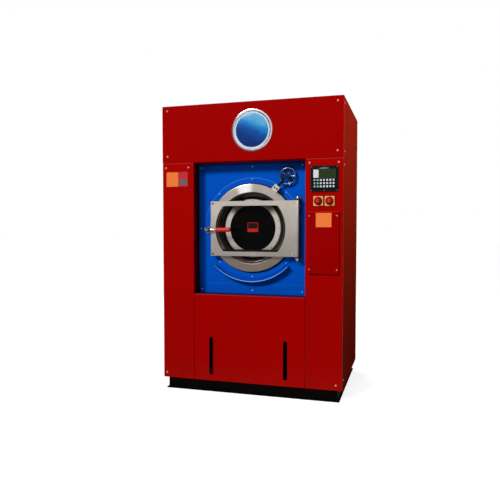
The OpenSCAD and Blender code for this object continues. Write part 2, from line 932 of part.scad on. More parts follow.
module outer_tub() {
    back_hole_r = 62;
    color("#9fa3a6") turned(axis_x, axis_z) {
        translate([tub_r - tub_t, tub_d]) square([tub_t, tub_back_d - tub_d]);
        translate([mouth_r, tub_d]) square([tub_r - mouth_r, tub_t]);
        translate([back_hole_r, tub_back_d - tub_t]) square([tub_r - back_hole_r, tub_t]);
    }
}

module tub_support(d) {
    top_x = 400;
    top_z = axis_z - tub_r * 0.53;
    arch_z = axis_z - tub_r - 50;
    upright(d, d + support_t) translate([axis_x, 0]) difference() {
        polygon([
            [-support_outer_x, base_h], [-top_x, top_z],
            [top_x, top_z], [support_outer_x, base_h]
        ]);
        translate([0, axis_z]) circle(r = tub_r + eps);
        translate([-support_foot_x, base_h - 1]) square([2 * support_foot_x, arch_z - base_h + 1]);
    }
}

module tub_supports() {
    color("#3a3d40") for (d = support_d) tub_support(d);
}

module bearing_housing() {
    flange_r1 = 150;
    flange_w = 15;
    ribs = 6;
    color("#5b5f63") difference() {
        union() {
            rod(axis_x, axis_z, flange_r1, housing_d, housing_d + flange_w);
            rod(axis_x, axis_z, bearing_r + 28, housing_d, housing_back_d);
            for (i = [0 : ribs - 1])
                translate([axis_x, 0, axis_z]) rotate([0, i * 360 / ribs, 0])
                    across(-6, 6) polygon([
                        [housing_d, 0], [housing_d + flange_w, flange_r1 - 5],
                        [housing_back_d - 10, bearing_r + 20], [housing_back_d - 10, 0]
                    ]);
        }
        rod(axis_x, axis_z, bearing_r + eps, housing_d - 1, housing_back_d + 1);
    }
}

module drum_bearings() {
    color("#c5c7c9")
        for (d = [housing_d + 15, housing_back_d - bearing_w - 2])
            turned(axis_x, axis_z)
                translate([shaft_r + run_gap, d]) square([bearing_r - shaft_r - run_gap, bearing_w]);
}

module motor() {
    fins = 20;
    bell = motor_l / 7;
    box_d = motor_d0 + 90;
    box_w = 90;
    color("#39424a") difference() {
        union() {
            rod(axis_x, motor_z, motor_r - 10, motor_d0, motor_d1);
            rod(axis_x, motor_z, motor_r - 3, motor_d0 + 20, motor_d0 + bell);
            rod(axis_x, motor_z, motor_r - 3, motor_d1 - bell, motor_d1 - 12);
            for (i = [0 : fins - 1])
                translate([axis_x, 0, motor_z]) rotate([0, (i + 0.5) * 360 / fins, 0])
                    block(-2, 2, motor_d0 + bell - 1, motor_d1 - bell + 1, 0, motor_r);
            block(axis_x - motor_r * 0.8, axis_x + motor_r * 0.8, motor_d0 + 40, motor_d1 - 40,
                  base_h + mount_t, motor_z - motor_r * 0.7);
            block(axis_x - box_w / 2, axis_x + box_w / 2, box_d, box_d + box_w,
                  motor_z, motor_z + motor_r + 35);
        }
        rod(axis_x, motor_z, motor_shaft_r + run_gap, motor_d1 - 60, motor_d1 + 1);
    }
}

module motor_mount() {
    color("#2b2c2e")
        block(axis_x - mount_w / 2, axis_x + mount_w / 2, motor_d0 + mount_in, motor_d1 - mount_in,
              base_h, base_h + mount_t);
}

// Outline of a belt run round a large wheel above and a small one below
module belt_outline(r1, r2, span) {
    lean = asin((r1 - r2) / span);
    circle(r = r1);
    translate([0, -span]) circle(r = r2);
    polygon([
        [r1 * cos(lean), r1 * sin(lean)],
        [-r1 * cos(lean), r1 * sin(lean)],
        [-r2 * cos(lean), r2 * sin(lean) - span],
        [r2 * cos(lean), r2 * sin(lean) - span]
    ]);
}

function groove_d(i) = pulley_d + 1 + (i + 0.5) * groove_pitch;

module drive_belts() {
    span = axis_z - motor_z;
    half = belt_h / 2;
    color("#151515")
        for (i = [0 : belts - 1])
            upright(groove_d(i) - belt_w / 2, groove_d(i) + belt_w / 2)
                translate([axis_x, axis_z]) difference() {
                    belt_outline(drum_pitch_r + half, motor_pitch_r + half, span);
                    belt_outline(drum_pitch_r - half, motor_pitch_r - half, span);
                }
}

// Rim of a belt wheel, as a profile in radius and depth
module belt_rim(pitch_r, inner_r) {
    floor_r = pitch_r - belt_h / 2 - soft_gap;
    difference() {
        translate([inner_r, pulley_d]) square([pitch_r + belt_h / 2 + 1 - inner_r, pulley_w]);
        for (i = [0 : belts - 1])
            translate([floor_r, groove_d(i) - groove_w / 2]) square([belt_h + 10, groove_w]);
    }
}

module drum_pulley() {
    web_t = 12;
    web_d = pulley_d + (pulley_w - web_t) / 2;
    rim_r = drum_pitch_r - 24;
    hub_w = 26;
    hole_r = 42;
    hole_ring_r = (rim_r + shaft_r + hub_w) / 2;
    color("#6a6e72") difference() {
        turned(axis_x, axis_z) {
            belt_rim(drum_pitch_r, rim_r);
            translate([shaft_r + eps, web_d]) square([rim_r + 14 - shaft_r, web_t]);
            translate([shaft_r + eps, pulley_d]) square([hub_w, pulley_w]);
        }
        for (i = [0 : 5])
            rod(axis_x + hole_ring_r * cos(i * 60), axis_z + hole_ring_r * sin(i * 60), hole_r,
                web_d - 1, web_d + web_t + 1);
    }
}

module motor_pulley() {
    color("#6a6e72") {
        turned(axis_x, motor_z) belt_rim(motor_pitch_r, motor_shaft_r - 1);
        rod(axis_x, motor_z, motor_shaft_r, motor_d1 - 55, pulley_d + pulley_w);
    }
}

module drum_basket() {
    inner_r = basket_r - basket_t;
    hole_r = shaft_r + 10;
    color("#c2c5c8") turned(axis_x, axis_z) {
        translate([inner_r, basket_d]) square([basket_t, basket_back_d - basket_d]);
        translate([lip_r, basket_d]) square([basket_r - lip_r, basket_t]);
        translate([lip_r, basket_d - 12]) square([basket_t, 12 + basket_t]);
        translate([hole_r, basket_back_d - basket_t]) square([basket_r - hole_r, basket_t]);
    }
}

module drum_lifters() {
    outer = basket_r - basket_t - soft_gap;
    tip = outer - lifter_h;
    color("#b4b7ba") upright(basket_d + basket_t + 20, basket_back_d - basket_t - 20)
        translate([axis_x, axis_z])
            for (i = [0 : lifters - 1]) rotate(60 + i * 360 / lifters)
                intersection() {
                    circle(r = outer);
                    union() {
                        polygon([
                            [outer + 5, -lifter_w / 2], [tip, -lifter_tip_r],
                            [tip, lifter_tip_r], [outer + 5, lifter_w / 2]
                        ]);
                        translate([tip, 0]) circle(r = lifter_tip_r);
                    }
                }
}

module drum_shaft() {
    color("#8c9094") {
        rod(axis_x, axis_z, shaft_r, basket_back_d, shaft_back_d);
        rod(axis_x, axis_z, 55, basket_back_d, basket_back_d + spider_t);
        for (i = [0 : 2])
            translate([axis_x, 0, axis_z]) rotate([0, i * 120, 0])
                block(-22, 22, basket_back_d, basket_back_d + spider_t * 0.7, 0, basket_r - 20);
    }
}

// ---------- services ----------

module drain_pipe() {
    color("#505356") difference() {
        union() {
            translate([drain_x, front_y + drain_d, drain_z + drain_bend_r])
                cylinder(r = drain_pipe_r, h = axis_z - tub_r * 0.8 - drain_z - drain_bend_r);
            drain_bend(drain_pipe_r);
            rod(drain_x, drain_z, drain_pipe_r, drain_d + drain_bend_r, body_d + 1);
            rod(drain_x, drain_z, drain_r, body_d, body_d + drain_out);
        }
        translate([drain_x, front_y + drain_d, drain_z + drain_bend_r - eps])
            cylinder(r = drain_pipe_r - drain_wall, h = axis_z);
        drain_bend(drain_pipe_r - drain_wall);
        rod(drain_x, drain_z, drain_pipe_r - drain_wall, drain_d + drain_bend_r - eps,
            body_d + drain_out + 1);
        rod(axis_x, axis_z, tub_r + soft_gap, 0, body_d);
    }
}

// A quarter bend from straight down to straight back
module drain_bend(r) {
    translate([drain_x, front_y + drain_d + drain_bend_r, drain_z + drain_bend_r])
        rotate([0, 90, 0]) rotate([0, 0, -90])
            rotate_extrude(angle = 90) translate([drain_bend_r, 0]) circle(r = r);
}

module water_inlets() {
    face = body_d - sheet_t;
    color("#b08a3c")
        for (i = [0, 1]) {
            x = inlet_x - i * inlet_pitch;
            rod(x, service_z, inlet_r - 1, face - 1, body_d + 1);
            rod(x, service_z, inlet_r, body_d, body_d + inlet_out);
            block(x - 22, x + 22, face - 55, face, service_z - 28, service_z + 28);
        }
}

module cable_gland() {
    color("#2a2b2d") difference() {
        union() {
            rod(gland_x, service_z, gland_r, body_d - sheet_t - 12, body_d + 8);
            translate([gland_x, front_y + body_d, service_z]) rotate([-90, 0, 0])
                cylinder(r = gland_r + 6, h = 8, $fn = 6);
            rod(gland_x, service_z, gland_r - 1, body_d + 7, body_d + 20);
            translate([gland_x, front_y + body_d - sheet_t, service_z]) rotate([90, 0, 0])
                cylinder(r = gland_r + 6, h = 6, $fn = 6);
        }
        rod(gland_x, service_z, gland_r - 6, body_d - 40, body_d + 40);
    }
}

// ---------- door ----------

// The cropped circle of the window, grown by this much, with round corners
module window_outline(grow) {
    r = window_r + grow;
    flat = window_h / 2 + grow;
    corner_r = window_corner_r + grow;
    corner_z = flat - corner_r;
    corner_x = sqrt(pow(r - corner_r, 2) - pow(corner_z, 2));
    translate([axis_x, axis_z - window_drop]) {
        // the round sides, between the lines through the corners' centres
        intersection() {
            circle(r = r);
            for (side = [-2, 2])
                polygon([[0, 0], [side * corner_x, 2 * corner_z], [side * corner_x, -2 * corner_z]]);
        }
        square([2 * corner_x, 2 * flat], center = true);
        for (x = [-corner_x, corner_x], z = [-corner_z, corner_z])
            translate([x, z]) circle(r = corner_r);
    }
}

module door_frame() {
    z0 = door_z0;
    z1 = door_z0 + door_h;
    fold_x1 = door_hinge_x - 20;
    window_fold_d = 15;
    color("#b3aea7") difference() {
        union() {
            upright(door_front_d, door_front_d + door_t) difference() {
                translate([door_x0, z0]) square([door_hinge_x - door_x0, door_h]);
                window_outline(0);
            }
            // folded edges at the top, bottom and left
            for (z = [z0, z1 - fold_t])
                block(door_x0, fold_x1, door_front_d, door_back_d, z, z + fold_t);
            block(door_x0, door_x0 + fold_t, door_front_d, door_back_d, z0, z1);
            // fold round the window
            upright(door_front_d + door_t - eps, door_front_d + window_fold_d) difference() {
                window_outline(fold_t);
                window_outline(0);
            }
            translate([door_hinge_x, front_y + hinge_d, z0]) cylinder(r = barrel_r, h = door_h);
        }
        translate([door_hinge_x, front_y + hinge_d, z0 - 1])
            cylinder(r = hinge_pin_r + run_gap, h = door_h + 2);
        rod(latch_pivot_x, latch_pivot_z, latch_shaft_r + 2, door_front_d - 1, lug_d + 1);
        block(door_x0 - 1, door_x0 + fold_t + 1, lug_d, door_back_d + 1,
              latch_pivot_z - lug_h / 2 - eps, latch_pivot_z + lug_h / 2 + eps);
    }
}

// The points of a bend of radius r at corner p, between the lines to a and b
function bend(a, p, b, r) =
    let (u = (a - p) / norm(a - p),
         v = (b - p) / norm(b - p),
         half = acos(u * v) / 2,
         mid = (u + v) / norm(u + v),
         c = p + mid * r / sin(half),
         side = u - mid * cos(half),
         out = side / norm(side),
         reach = 90 - half)
    [for (i = [0 : 5])
        let (t = reach * (1 - i * 2 / 5)) c + r * (-mid * cos(t) + out * sin(t))];

// A spun bowl: rim, bend, cone, bend and the flange under the glass
module door_bowl() {
    rim_w = 10;
    rim_bend_r = 3.5;
    mouth = [bowl_rim_r - rim_w, door_back_d];
    foot = [bowl_back_r, bowl_back_d];
    rim = [bowl_rim_r, door_back_d];
    centre = [bowl_flange_r, bowl_back_d];
    wall = [0.8 * bowl_t, bowl_t];
    face = concat([rim], bend(rim, mouth, foot, rim_bend_r),
                  bend(mouth, foot, centre, bowl_bend_r), [centre]);
    last = len(face) - 1;
    back = [for (i = [last : -1 : 0]) face[i] + [i == 0 || i == last ? 0 : wall[0], wall[1]]];
    color("#4c4844") turned(axis_x, axis_z) polygon(concat(face, back));
}

module door_gasket() {
    color("#141416") turned(axis_x, axis_z)
        translate([bowl_rim_r - gasket_w, door_back_d + bowl_t]) square([gasket_w, gasket_t]);
}

module door_glass() {
    color("#0a0a0c") rod(axis_x, axis_z, clamp_outer_r - clamp_skirt_w - soft_gap,
                         bowl_back_d - glass_t, bowl_back_d);
}

module door_clamp_ring() {
    color("#aaa59e") turned(axis_x, axis_z) {
        translate([clamp_inner_r, clamp_d]) square([clamp_outer_r - clamp_inner_r, clamp_t]);
        translate([clamp_outer_r - clamp_skirt_w, clamp_d])
            square([clamp_skirt_w, bowl_back_d - clamp_d]);
    }
}

module door_screws() {
    screw_ring_r = clamp_outer_r - clamp_skirt_w / 2;
    color("#77726c") {
        for (i = [0 : clamp_screws - 1]) {
            a = i * 360 / clamp_screws;
            dome_head(axis_x + screw_ring_r * sin(a), clamp_d, axis_z + screw_ring_r * cos(a),
                      tiny_screw);
        }
        for (x = [door_x0 + plate_bolt_in, door_hinge_x - plate_bolt_hinge_in],
             z = [door_z0 + plate_bolt_in, door_z0 + door_h - plate_bolt_in])
            dome_head(x, door_front_d, z, [plate_bolt_r, 3]);
    }
}

module latch_lug() {
    color("#a5a19b") upright(lug_d, lug_d + lug_t) difference() {
        round_rect(latch_pivot_x - 18, latch_pivot_x - 18 + lug_w,
                   latch_pivot_z - lug_h / 2, latch_pivot_z + lug_h / 2, 4);
        translate([latch_pivot_x, latch_pivot_z]) circle(r = latch_shaft_r + run_gap);
    }
}

module latch_lever() {
    hub_front = 6;
    hub_back = door_front_d - 1;
    x = latch_pivot_x;
    z = latch_pivot_z;
    color("#c4c2be") {
        // hub with a domed front
        turned(x, z) {
            translate([0, hub_front + 3]) square([lever_hub_r, hub_back - hub_front - 3]);
            intersection() {
                translate([0, hub_front + 30]) circle(r = 30);
                translate([0, hub_front - 1]) square([lever_hub_r - 1, 6]);
            }
        }
        rod(x, z, latch_shaft_r, hub_back - 1, tongue_d + 1);
        // neck that tapers into the rod inside the grip
        translate([x, front_y + lever_d, z]) rotate([0, 90, 0]) {
            cylinder(r1 = 11, r2 = 9, h = grip_x0 - x - 4);
            cylinder(r = grip_rod_r, h = grip_x0 - x + grip_l * 0.6);
        }
        // tongue behind the lug
        upright(tongue_d, tongue_d + tongue_t) {
            translate([x, z]) circle(r = 12);
            translate([x - tongue_l, z - tongue_h / 2]) square([tongue_l, tongue_h]);
        }
    }
}

module latch_grip() {
    end_r = 9;
    color("#d01010") translate([grip_x0, front_y + lever_d, latch_pivot_z]) rotate([0, 90, 0])
        rotate_extrude() difference() {
            union() {
                translate([0, 4]) square([grip_r, grip_l - 4 - end_r]);
                square([grip_r - 4, 8]);
                translate([grip_r - 4, 4]) circle(r = 4);
                translate([0, grip_l - end_r]) square([grip_r - end_r, end_r]);
                intersection() {
                    translate([grip_r - end_r, grip_l - end_r]) circle(r = end_r);
                    square([grip_r, grip_l]);
                }
            }
            translate([-1, -1]) square([grip_rod_r + eps + 1, grip_l * 0.6 + 1 + 1]);
        }
}

base_end_rails();
base_side_rails();
base_cross_rails();
frame_posts();
frame_side_rails();
frame_cross_rails();
left_column_cover();
right_column_cover();
top_fascia();
lower_front_panel();
left_side_panel();
right_side_panel();
top_cover();
rear_lower_panel();
rear_upper_panel();
access_panel();
drum_front_panel();
tub_flange();
front_ring();
door_seal();
drip_gutter();
hinge_brackets();
hinge_pin();
latch_keeper();
wheel_bracket();
wheel_arm();
controller_case();
controller_screen();
controller_keys();
switch_plates();
casing_screws();
front_panel_screws();
outer_tub();
tub_supports();
bearing_housing();
drum_bearings();
motor();
motor_mount();
drive_belts();
drain_pipe();
water_inlets();
cable_gland();
door_frame();
door_bowl();
door_gasket();
door_glass();
door_clamp_ring();
door_screws();
latch_lug();
latch_lever();
latch_grip();
handwheel();
left_switch_knob();
right_switch_knob();
drum_basket();
drum_lifters();
drum_shaft();
drum_pulley();
motor_pulley();
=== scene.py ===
"""A front-loading dry cleaning machine: its finishes and its fine pieces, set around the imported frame."""
import math

import bmesh
import bpy
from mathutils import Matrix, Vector


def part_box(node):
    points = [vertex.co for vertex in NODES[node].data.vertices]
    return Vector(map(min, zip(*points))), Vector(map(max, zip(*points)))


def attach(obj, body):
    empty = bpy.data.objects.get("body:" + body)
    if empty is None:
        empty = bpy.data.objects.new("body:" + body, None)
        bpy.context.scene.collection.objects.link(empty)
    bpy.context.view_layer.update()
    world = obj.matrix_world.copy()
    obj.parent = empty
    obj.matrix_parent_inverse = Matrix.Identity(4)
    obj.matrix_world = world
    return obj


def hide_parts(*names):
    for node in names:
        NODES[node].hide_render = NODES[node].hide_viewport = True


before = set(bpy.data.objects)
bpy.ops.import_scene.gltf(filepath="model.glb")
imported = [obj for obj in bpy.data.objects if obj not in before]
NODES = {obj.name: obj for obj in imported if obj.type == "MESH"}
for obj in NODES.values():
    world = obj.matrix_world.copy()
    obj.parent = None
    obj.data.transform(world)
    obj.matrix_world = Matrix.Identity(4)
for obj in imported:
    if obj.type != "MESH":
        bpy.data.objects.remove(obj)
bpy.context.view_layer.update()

MM = 0.001
TURN = 2 * math.pi
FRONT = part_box("left_column_cover")[0].y


# ---------- places, read from the frame in millimetres ----------


class Space:
    """A CAD node's box at rest: x and z as in the frame, d the depth behind the column covers' front."""

    def __init__(self, node):
        low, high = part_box(node)
        self.x0, self.x1 = low.x / MM, high.x / MM
        self.d0, self.d1 = (low.y - FRONT) / MM, (high.y - FRONT) / MM
        self.z0, self.z1 = low.z / MM, high.z / MM
        self.x, self.z = (self.x0 + self.x1) / 2, (self.z0 + self.z1) / 2
        self.w, self.h = self.x1 - self.x0, self.z1 - self.z0


ring = Space("front_ring")
fascia = Space("top_fascia")
left_column = Space("left_column_cover")
right_column = Space("right_column_cover")
lower_panel = Space("lower_front_panel")
flange = Space("tub_flange")
plate = Space("door_frame")
glass = Space("door_glass")
clamp = Space("door_clamp_ring")
pin = Space("hinge_pin")
wheel = Space("handwheel")
bracket = Space("wheel_bracket")
grip = Space("latch_grip")
lug = Space("latch_lug")
access = Space("access_panel")
case = Space("controller_case")
screen = Space("controller_screen")
keys = Space("controller_keys")
plates = Space("switch_plates")
knob_left = Space("left_switch_knob")
knob_right = Space("right_switch_knob")
basket = Space("drum_basket")
gutter = Space("drip_gutter")
lever = Space("latch_lever")
arm = Space("wheel_arm")
AXIS_X, AXIS_Z = ring.x, ring.z
RING_LIP_R = 232.0
LATCH_X = lug.x0 + 18
LID_FRONT = -16
BADGE_X, BADGE_Z = 22.0, fascia.z0 + 190.0
SCREW_INSET = 14


# ---------- finishes ----------


def srgb(red, green, blue):
    """A colour as linear values, from its 0 to 255 screen values."""
    def linear(level):
        level /= 255
        return level / 12.92 if level <= 0.04045 else ((level + 0.055) / 1.055) ** 2.4
    return (linear(red), linear(green), linear(blue), 1.0)


class Wire:
    """One socket of a finish in the making. Sums on it add Math nodes."""

    def __init__(self, finish, socket):
        self.finish, self.socket = finish, socket

    def __add__(self, other):
        return self.finish.maths("ADD", self, other)

    def __radd__(self, other):
        return self.finish.maths("ADD", other, self)

    def __sub__(self, other):
        return self.finish.maths("SUBTRACT", self, other)

    def __rsub__(self, other):
        return self.finish.maths("SUBTRACT", other, self)

    def __mul__(self, other):
        return self.finish.maths("MULTIPLY", self, other)

    def __rmul__(self, other):
        return self.finish.maths("MULTIPLY", other, self)

    def __truediv__(self, other):
        return self.finish.maths("DIVIDE", self, other)

    def __pow__(self, other):
        return self.finish.maths("POWER", self, other)


class Nodes:
    """A node tree and the few kinds of node that it is made of."""

    def __init__(self, tree):
        self.tree = tree
        tree.nodes.clear()

    def node(self, kind, settings=(), inputs=(), output=0):
        """A node of this kind: first its settings, then the values or links of its sockets."""
        made = self.tree.nodes.new("ShaderNode" + kind)
        for name, value in dict(settings).items():
            if name == "stops":
                for i, (position, colour) in enumerate(value):
                    stop = made.color_ramp.elements[i] if i < 2 else made.color_ramp.elements.new(position)
                    stop.position, stop.color = position, colour
            else:
                setattr(made, name, value)
        for name, value in dict(inputs).items():
            if isinstance(value, Wire):
                self.tree.links.new(value.socket, made.inputs[name])
            else:
                made.inputs[name].default_value = value
        return Wire(self, made.outputs[output]) if made.outputs else None

    def maths(self, operation, *values, clamp=False):
        settings = {"operation": operation, "use_clamp": clamp}
        return self.node("Math", settings, enumerate(values))

    def limit(self, value):
        return self.maths("ADD", value, 0.0, clamp=True)

    def smooth(self, value, low, high):
        """0 below low, 1 above high, and smooth between."""
        inputs = {"Value": value, "From Min": low, "From Max": high}
        return self.node("MapRange", {"interpolation_type": "SMOOTHSTEP"}, inputs)

    def place(self):
        return self.node("TexCoord", output="Object")

    def facing(self):
        """The way the surface faces."""
        return self.node("TexCoord", output="Normal")

    def parts(self, vector):
        """A vector's x, y and z."""
        split = self.node("SeparateXYZ", inputs={"Vector": vector})
        return [Wire(self, split.socket.node.outputs[i]) for i in range(3)]

    def axes(self):
        """x, y and z of the place in the frame, in metres."""
        return self.parts(self.place())

    def from_axis(self, x, z):
        """How far each place lies across and above a line along the depth, and away from it."""
        px, _, pz = self.axes()
        across, up = px - x * MM, pz - z * MM
        return across, up, (across * across + up * up) ** 0.5

    def noise(self, size, detail=2.0, stretch=(1, 1, 1), place=None):
        """Noise from 0 to 1 with features of about this size in millimetres, drawn out by stretch."""
        scale = [1 / (size * MM * s) for s in stretch]
        moved = self.node("Mapping", inputs={"Vector": place or self.place(), "Scale": scale})
        inputs = {"Vector": moved, "Scale": 1.0, "Detail": detail}
        return self.node("TexNoise", inputs=inputs)

    def mix(self, share, first, second):
        """The first colour where share is 0, and the second where it is 1."""
        return self.node("Mix", {"data_type": "RGBA"}, {0: share, 6: first, 7: second}, output=2)

    def scaled(self, colour, level):
        """A colour made lighter or darker by a level that varies."""
        plain = colour if isinstance(colour, Wire) else colour[:3]
        return self.node("VectorMath", {"operation": "SCALE"}, {0: plain, "Scale": level})

    def bump(self, height, depth):
        """Relief of this depth in millimetres, from a height of 0 to 1."""
        return self.node("Bump", inputs={"Height": height, "Distance": depth * MM, "Strength": 1.0})

    def orange_peel(self, depth=0.04):
        return self.bump(self.noise(2.6, detail=1), depth)

    def seen(self):
        """1 for a ray from the camera, a mirror or glass, and 0 for the light that falls on things."""
        kinds = ("Is Camera Ray", "Is Glossy Ray", "Is Transmission Ray")
        camera, mirror, through = [self.node("LightPath", output=kind) for kind in kinds]
        return self.limit(camera + mirror + through)


class Finish(Nodes):
    """A material in the making."""

    def __init__(self, name):
        self.material = bpy.data.materials.new(name)
        self.material.use_nodes = True
        super().__init__(self.material.node_tree)

    def surface(self, inputs):
        shader = self.node("BsdfPrincipled", inputs=inputs)
        self.node("OutputMaterial", inputs={"Surface": shader})
        return self.material


def shade(colour, share):
    """A colour made lighter or darker by this share."""
    return tuple(min(1.0, c * share) for c in colour[:3]) + (1.0,)


def paint(name, colour, rough=0.45, shine=0.009, foot_shade_share=0.72, lines=(), dust=0.05, return_shade=None):
    """Powder coat: a fine orange peel, faint clouds in its tone, and a darker foot of painted shade.

    Lines run level across it as painted highlights and painted shade: each has its height, reach, share
    and tone. The returns that run back from the front can take two tones of painted shade, near it and
    far from it.
    """
    f = Finish(name)
    _, y, z = f.axes()
    height = f.smooth(z, 0.0, fascia.z1 * MM)
    tone = f.mix(f.noise(420, detail=3), shade(colour, 0.92), shade(colour, 1.08))
    # Painted shade: the colour darkens towards the foot.
    toned = f.scaled(tone, foot_shade_share + (1 - foot_shade_share) * height)
    # Painted highlights and painted shade along level lines.
    for line_z, reach, share, line_tone in lines:
        line = 1 - f.smooth(f.maths("ABSOLUTE", z - line_z * MM), 0.0, reach * MM)
        toned = f.mix(share * line, toned, line_tone)
    # Painted shade on the returns that run back from the front.
    if return_shade:
        inner = f.mix(f.smooth(y, FRONT, FRONT + RETURN_SHADE_FADE * MM), *return_shade)
        toned = f.mix(f.smooth(y, FRONT + 0.3 * MM, FRONT + 2 * MM), toned, inner)
    low = (1 - f.smooth(z, 0.0, DUST_TOP * MM)) * f.noise(38, detail=5)
    return f.surface({
        "Base Color": f.mix(low * dust, toned, DUST),
        "Roughness": rough - 0.06 + 0.12 * f.noise(90, detail=4) + 0.1 * low,
        "Specular IOR Level": shine,
        "Normal": f.orange_peel(),
    })


def edge_highlight_paint(name, colour, highlight_tone):
    """The round flange's powder coat, with a painted highlight along the upper part of its outer edge."""
    f = Finish(name)
    _, up, radius = f.from_axis(AXIS_X, AXIS_Z)
    edge = flange.w / 2 - 4
    # Painted highlight: a lighter line along the upper outer edge.
    line = f.smooth(radius, (edge - 1) * MM, (edge + 1) * MM) * f.smooth(up, 0.0, 0.2)
    tone = f.mix(f.noise(300, detail=3), shade(colour, 0.92), shade(colour, 1.08))
    return f.surface({
        "Base Color": f.mix(0.45 * line, tone, highlight_tone),
        "Roughness": 0.4 + 0.1 * f.noise(90, detail=4),
        "Specular IOR Level": 0.02,
        "Normal": f.orange_peel(),
    })


def hem_highlight_paint(name, colour, highlight_tone):
    """The gutter hem's powder coat, with a painted highlight where it faces up and out."""
    f = Finish(name)
    _, back, up = f.parts(f.facing())
    # Painted highlight where the hem faces up and out.
    wear_and_highlight = f.smooth(0.75 * up - 0.66 * back, 0.72, 0.94)
    return f.surface({
        "Base Color": f.mix(wear_and_highlight * (0.75 + 0.25 * f.noise(30)), colour, highlight_tone),
        "Roughness": 0.35 + 0.1 * f.noise(12),
        "Specular IOR Level": 0.03,
        "Normal": f.orange_peel(0.03),
    })


def painted_reflection_bands(f, dark, bright, marks, scale, low, high):
    """Painted reflections: light and dark bands that follow the form of plated steel, as a dim room would
    show in it.
    """
    band = f.node("TexNoise", inputs={"Vector": f.facing(), "Scale": scale, "Detail": 2.0})
    return f.mix(f.smooth(band + 0.1 * marks, low, high), dark, bright)


def levered(name, dark, bright, x, z):
    """The lever's steel: black oxide about its pivot, and plated beyond it, with painted reflection bands."""
    f = Finish(name)
    radius = f.from_axis(x, z)[2]
    marks = f.noise(7, detail=4)
    plate_tone = painted_reflection_bands(f, dark, bright, marks, 3.0, 0.5, 0.58)
    return f.surface({
        "Base Color": f.mix(f.smooth(radius, 13 * MM, 16 * MM), srgb(34, 34, 38), plate_tone),
        "Metallic": 0.9,
        "Roughness": 0.12 + 0.12 * marks,
        "Normal": f.bump(marks, 0.01),
    })


def brushed(name, colour, along, rough=0.34, spread=0.1, over=None, foot_shade=0.0):
    """Sheet steel with fine brush lines along one axis, and broad soft clouds.

    Over the height of a space it can darken towards the foot, by a given share: painted shade.
    """
    f = Finish(name)
    stretch = {"d": (1, 60, 1), "z": (1, 1, 60)}[along]
    lines = f.noise(1.6, detail=3, stretch=stretch)
    blotch = f.noise(110, detail=2)
    spots = f.noise(14, detail=3)
    level = 1 + spread * (lines * 1.2 + blotch * 1.6 + spots * 0.6 - 1.7)
    # Painted shade, darker towards the foot of the space.
    if over:
        level = level - foot_shade * (1 - f.smooth(f.axes()[2], over.z0 * MM, over.z1 * MM))
    return f.surface({
        "Base Color": f.scaled(colour, level),
        "Metallic": 0.5,
        "Roughness": rough - 0.08 + 0.16 * lines + 0.08 * blotch,
        "Specular IOR Level": 0.3,
        "Normal": f.bump(lines, 0.012),
    })


def turned(name, foot, middle, top, rough=0.3, metallic=0.5, ringed=0.1, rays=0.12, lean=0.0,
           gleam=None, shadow=None, lip=None):
    """Steel turned about the drum's axis: fine rings, soft rays of painted sheen, and a tone of painted
    light and shade from its foot to its top; a lean makes one side lighter than the other.

    A gleam is the tone of one narrow painted highlight just left of the top. A shadow is the tone of the
    painted shadow where the bar over the window keeps the light off. A lip is a radius whose lower part
    takes a painted highlight.
    """
    f = Finish(name)
    y = f.axes()[1]
    across, up, radius = f.from_axis(AXIS_X, AXIS_Z)
    side, rise = across / radius, up / radius
    rings = f.node("CombineXYZ", inputs={"X": radius, "Y": 0.3 * y})
    lines = f.noise(1.3, detail=3, place=rings)
    spokes = f.node("CombineXYZ", inputs={"X": side, "Y": rise, "Z": 4 * radius})
    streaks = f.node("TexNoise", inputs={"Vector": spokes, "Scale": 3.1, "Detail": 3.0})
    # Painted light and shade: the tone runs from foot to middle to top.
    tone = f.mix(f.smooth(rise, 0.0, 1.0), f.mix(f.smooth(rise, -1.0, 0.0), foot, middle), top)
    # Painted highlight: one narrow ray just left of the top.
    if gleam:
        towards = GLEAM_RISE * rise + GLEAM_SIDE * side
        tone = f.mix(f.smooth(towards, 0.97, 1.0), tone, gleam)
    # Painted shadow of the bar over the window.
    if shadow:
        tone = f.mix(f.smooth(rise, 0.48, 0.76) * (1 - f.smooth(rise, 0.93, 0.96)), tone, shadow)
    # The fine rings are the turned grain; the rays are painted sheen, and the lean paints one side lighter.
    level = 1 + ringed * (lines * 2 - 1) + rays * (streaks * 2 - 1) + lean * side
    tone = f.scaled(tone, level)
    # Painted highlight along the lower part of the lip.
    if lip:
        near = 1 - f.smooth(f.maths("ABSOLUTE", radius - lip * MM), 0.5 * MM, 4 * MM)
        tone = f.mix(near * (1 - f.smooth(rise, -0.75, 0.1)), tone, srgb(216, 210, 203))
    return f.surface({
        "Base Color": tone,
        "Metallic": metallic,
        "Roughness": rough - 0.08 + 0.14 * lines,
        "Specular IOR Level": 0.3,
        "Normal": f.bump(lines, 0.012),
    })


def polished(name, colour, rough=0.12, metallic=1.0):
    """Bright metal with faint handling marks."""
    f = Finish(name)
    marks = f.noise(9, detail=4)
    return f.surface({
        "Base Color": f.mix(marks, shade(colour, 0.92), shade(colour, 1.08)),
        "Metallic": metallic,
        "Roughness": rough + 0.08 * marks,
        "Normal": f.bump(f.noise(3, detail=2), 0.006),
    })


def plated(name, dark, bright, share=0.5, scale=2.4):
    """Plated steel with painted reflections of a dim room. Its bright bands take up more with a larger share.
    """
    f = Finish(name)
    marks = f.noise(7, detail=4)
    low = 0.62 - share * 0.2
    return f.surface({
        "Base Color": painted_reflection_bands(f, dark, bright, marks, scale, low, low + 0.08),
        "Metallic": 0.9,
        "Roughness": 0.1 + 0.12 * marks,
        "Normal": f.bump(marks, 0.01),
    })


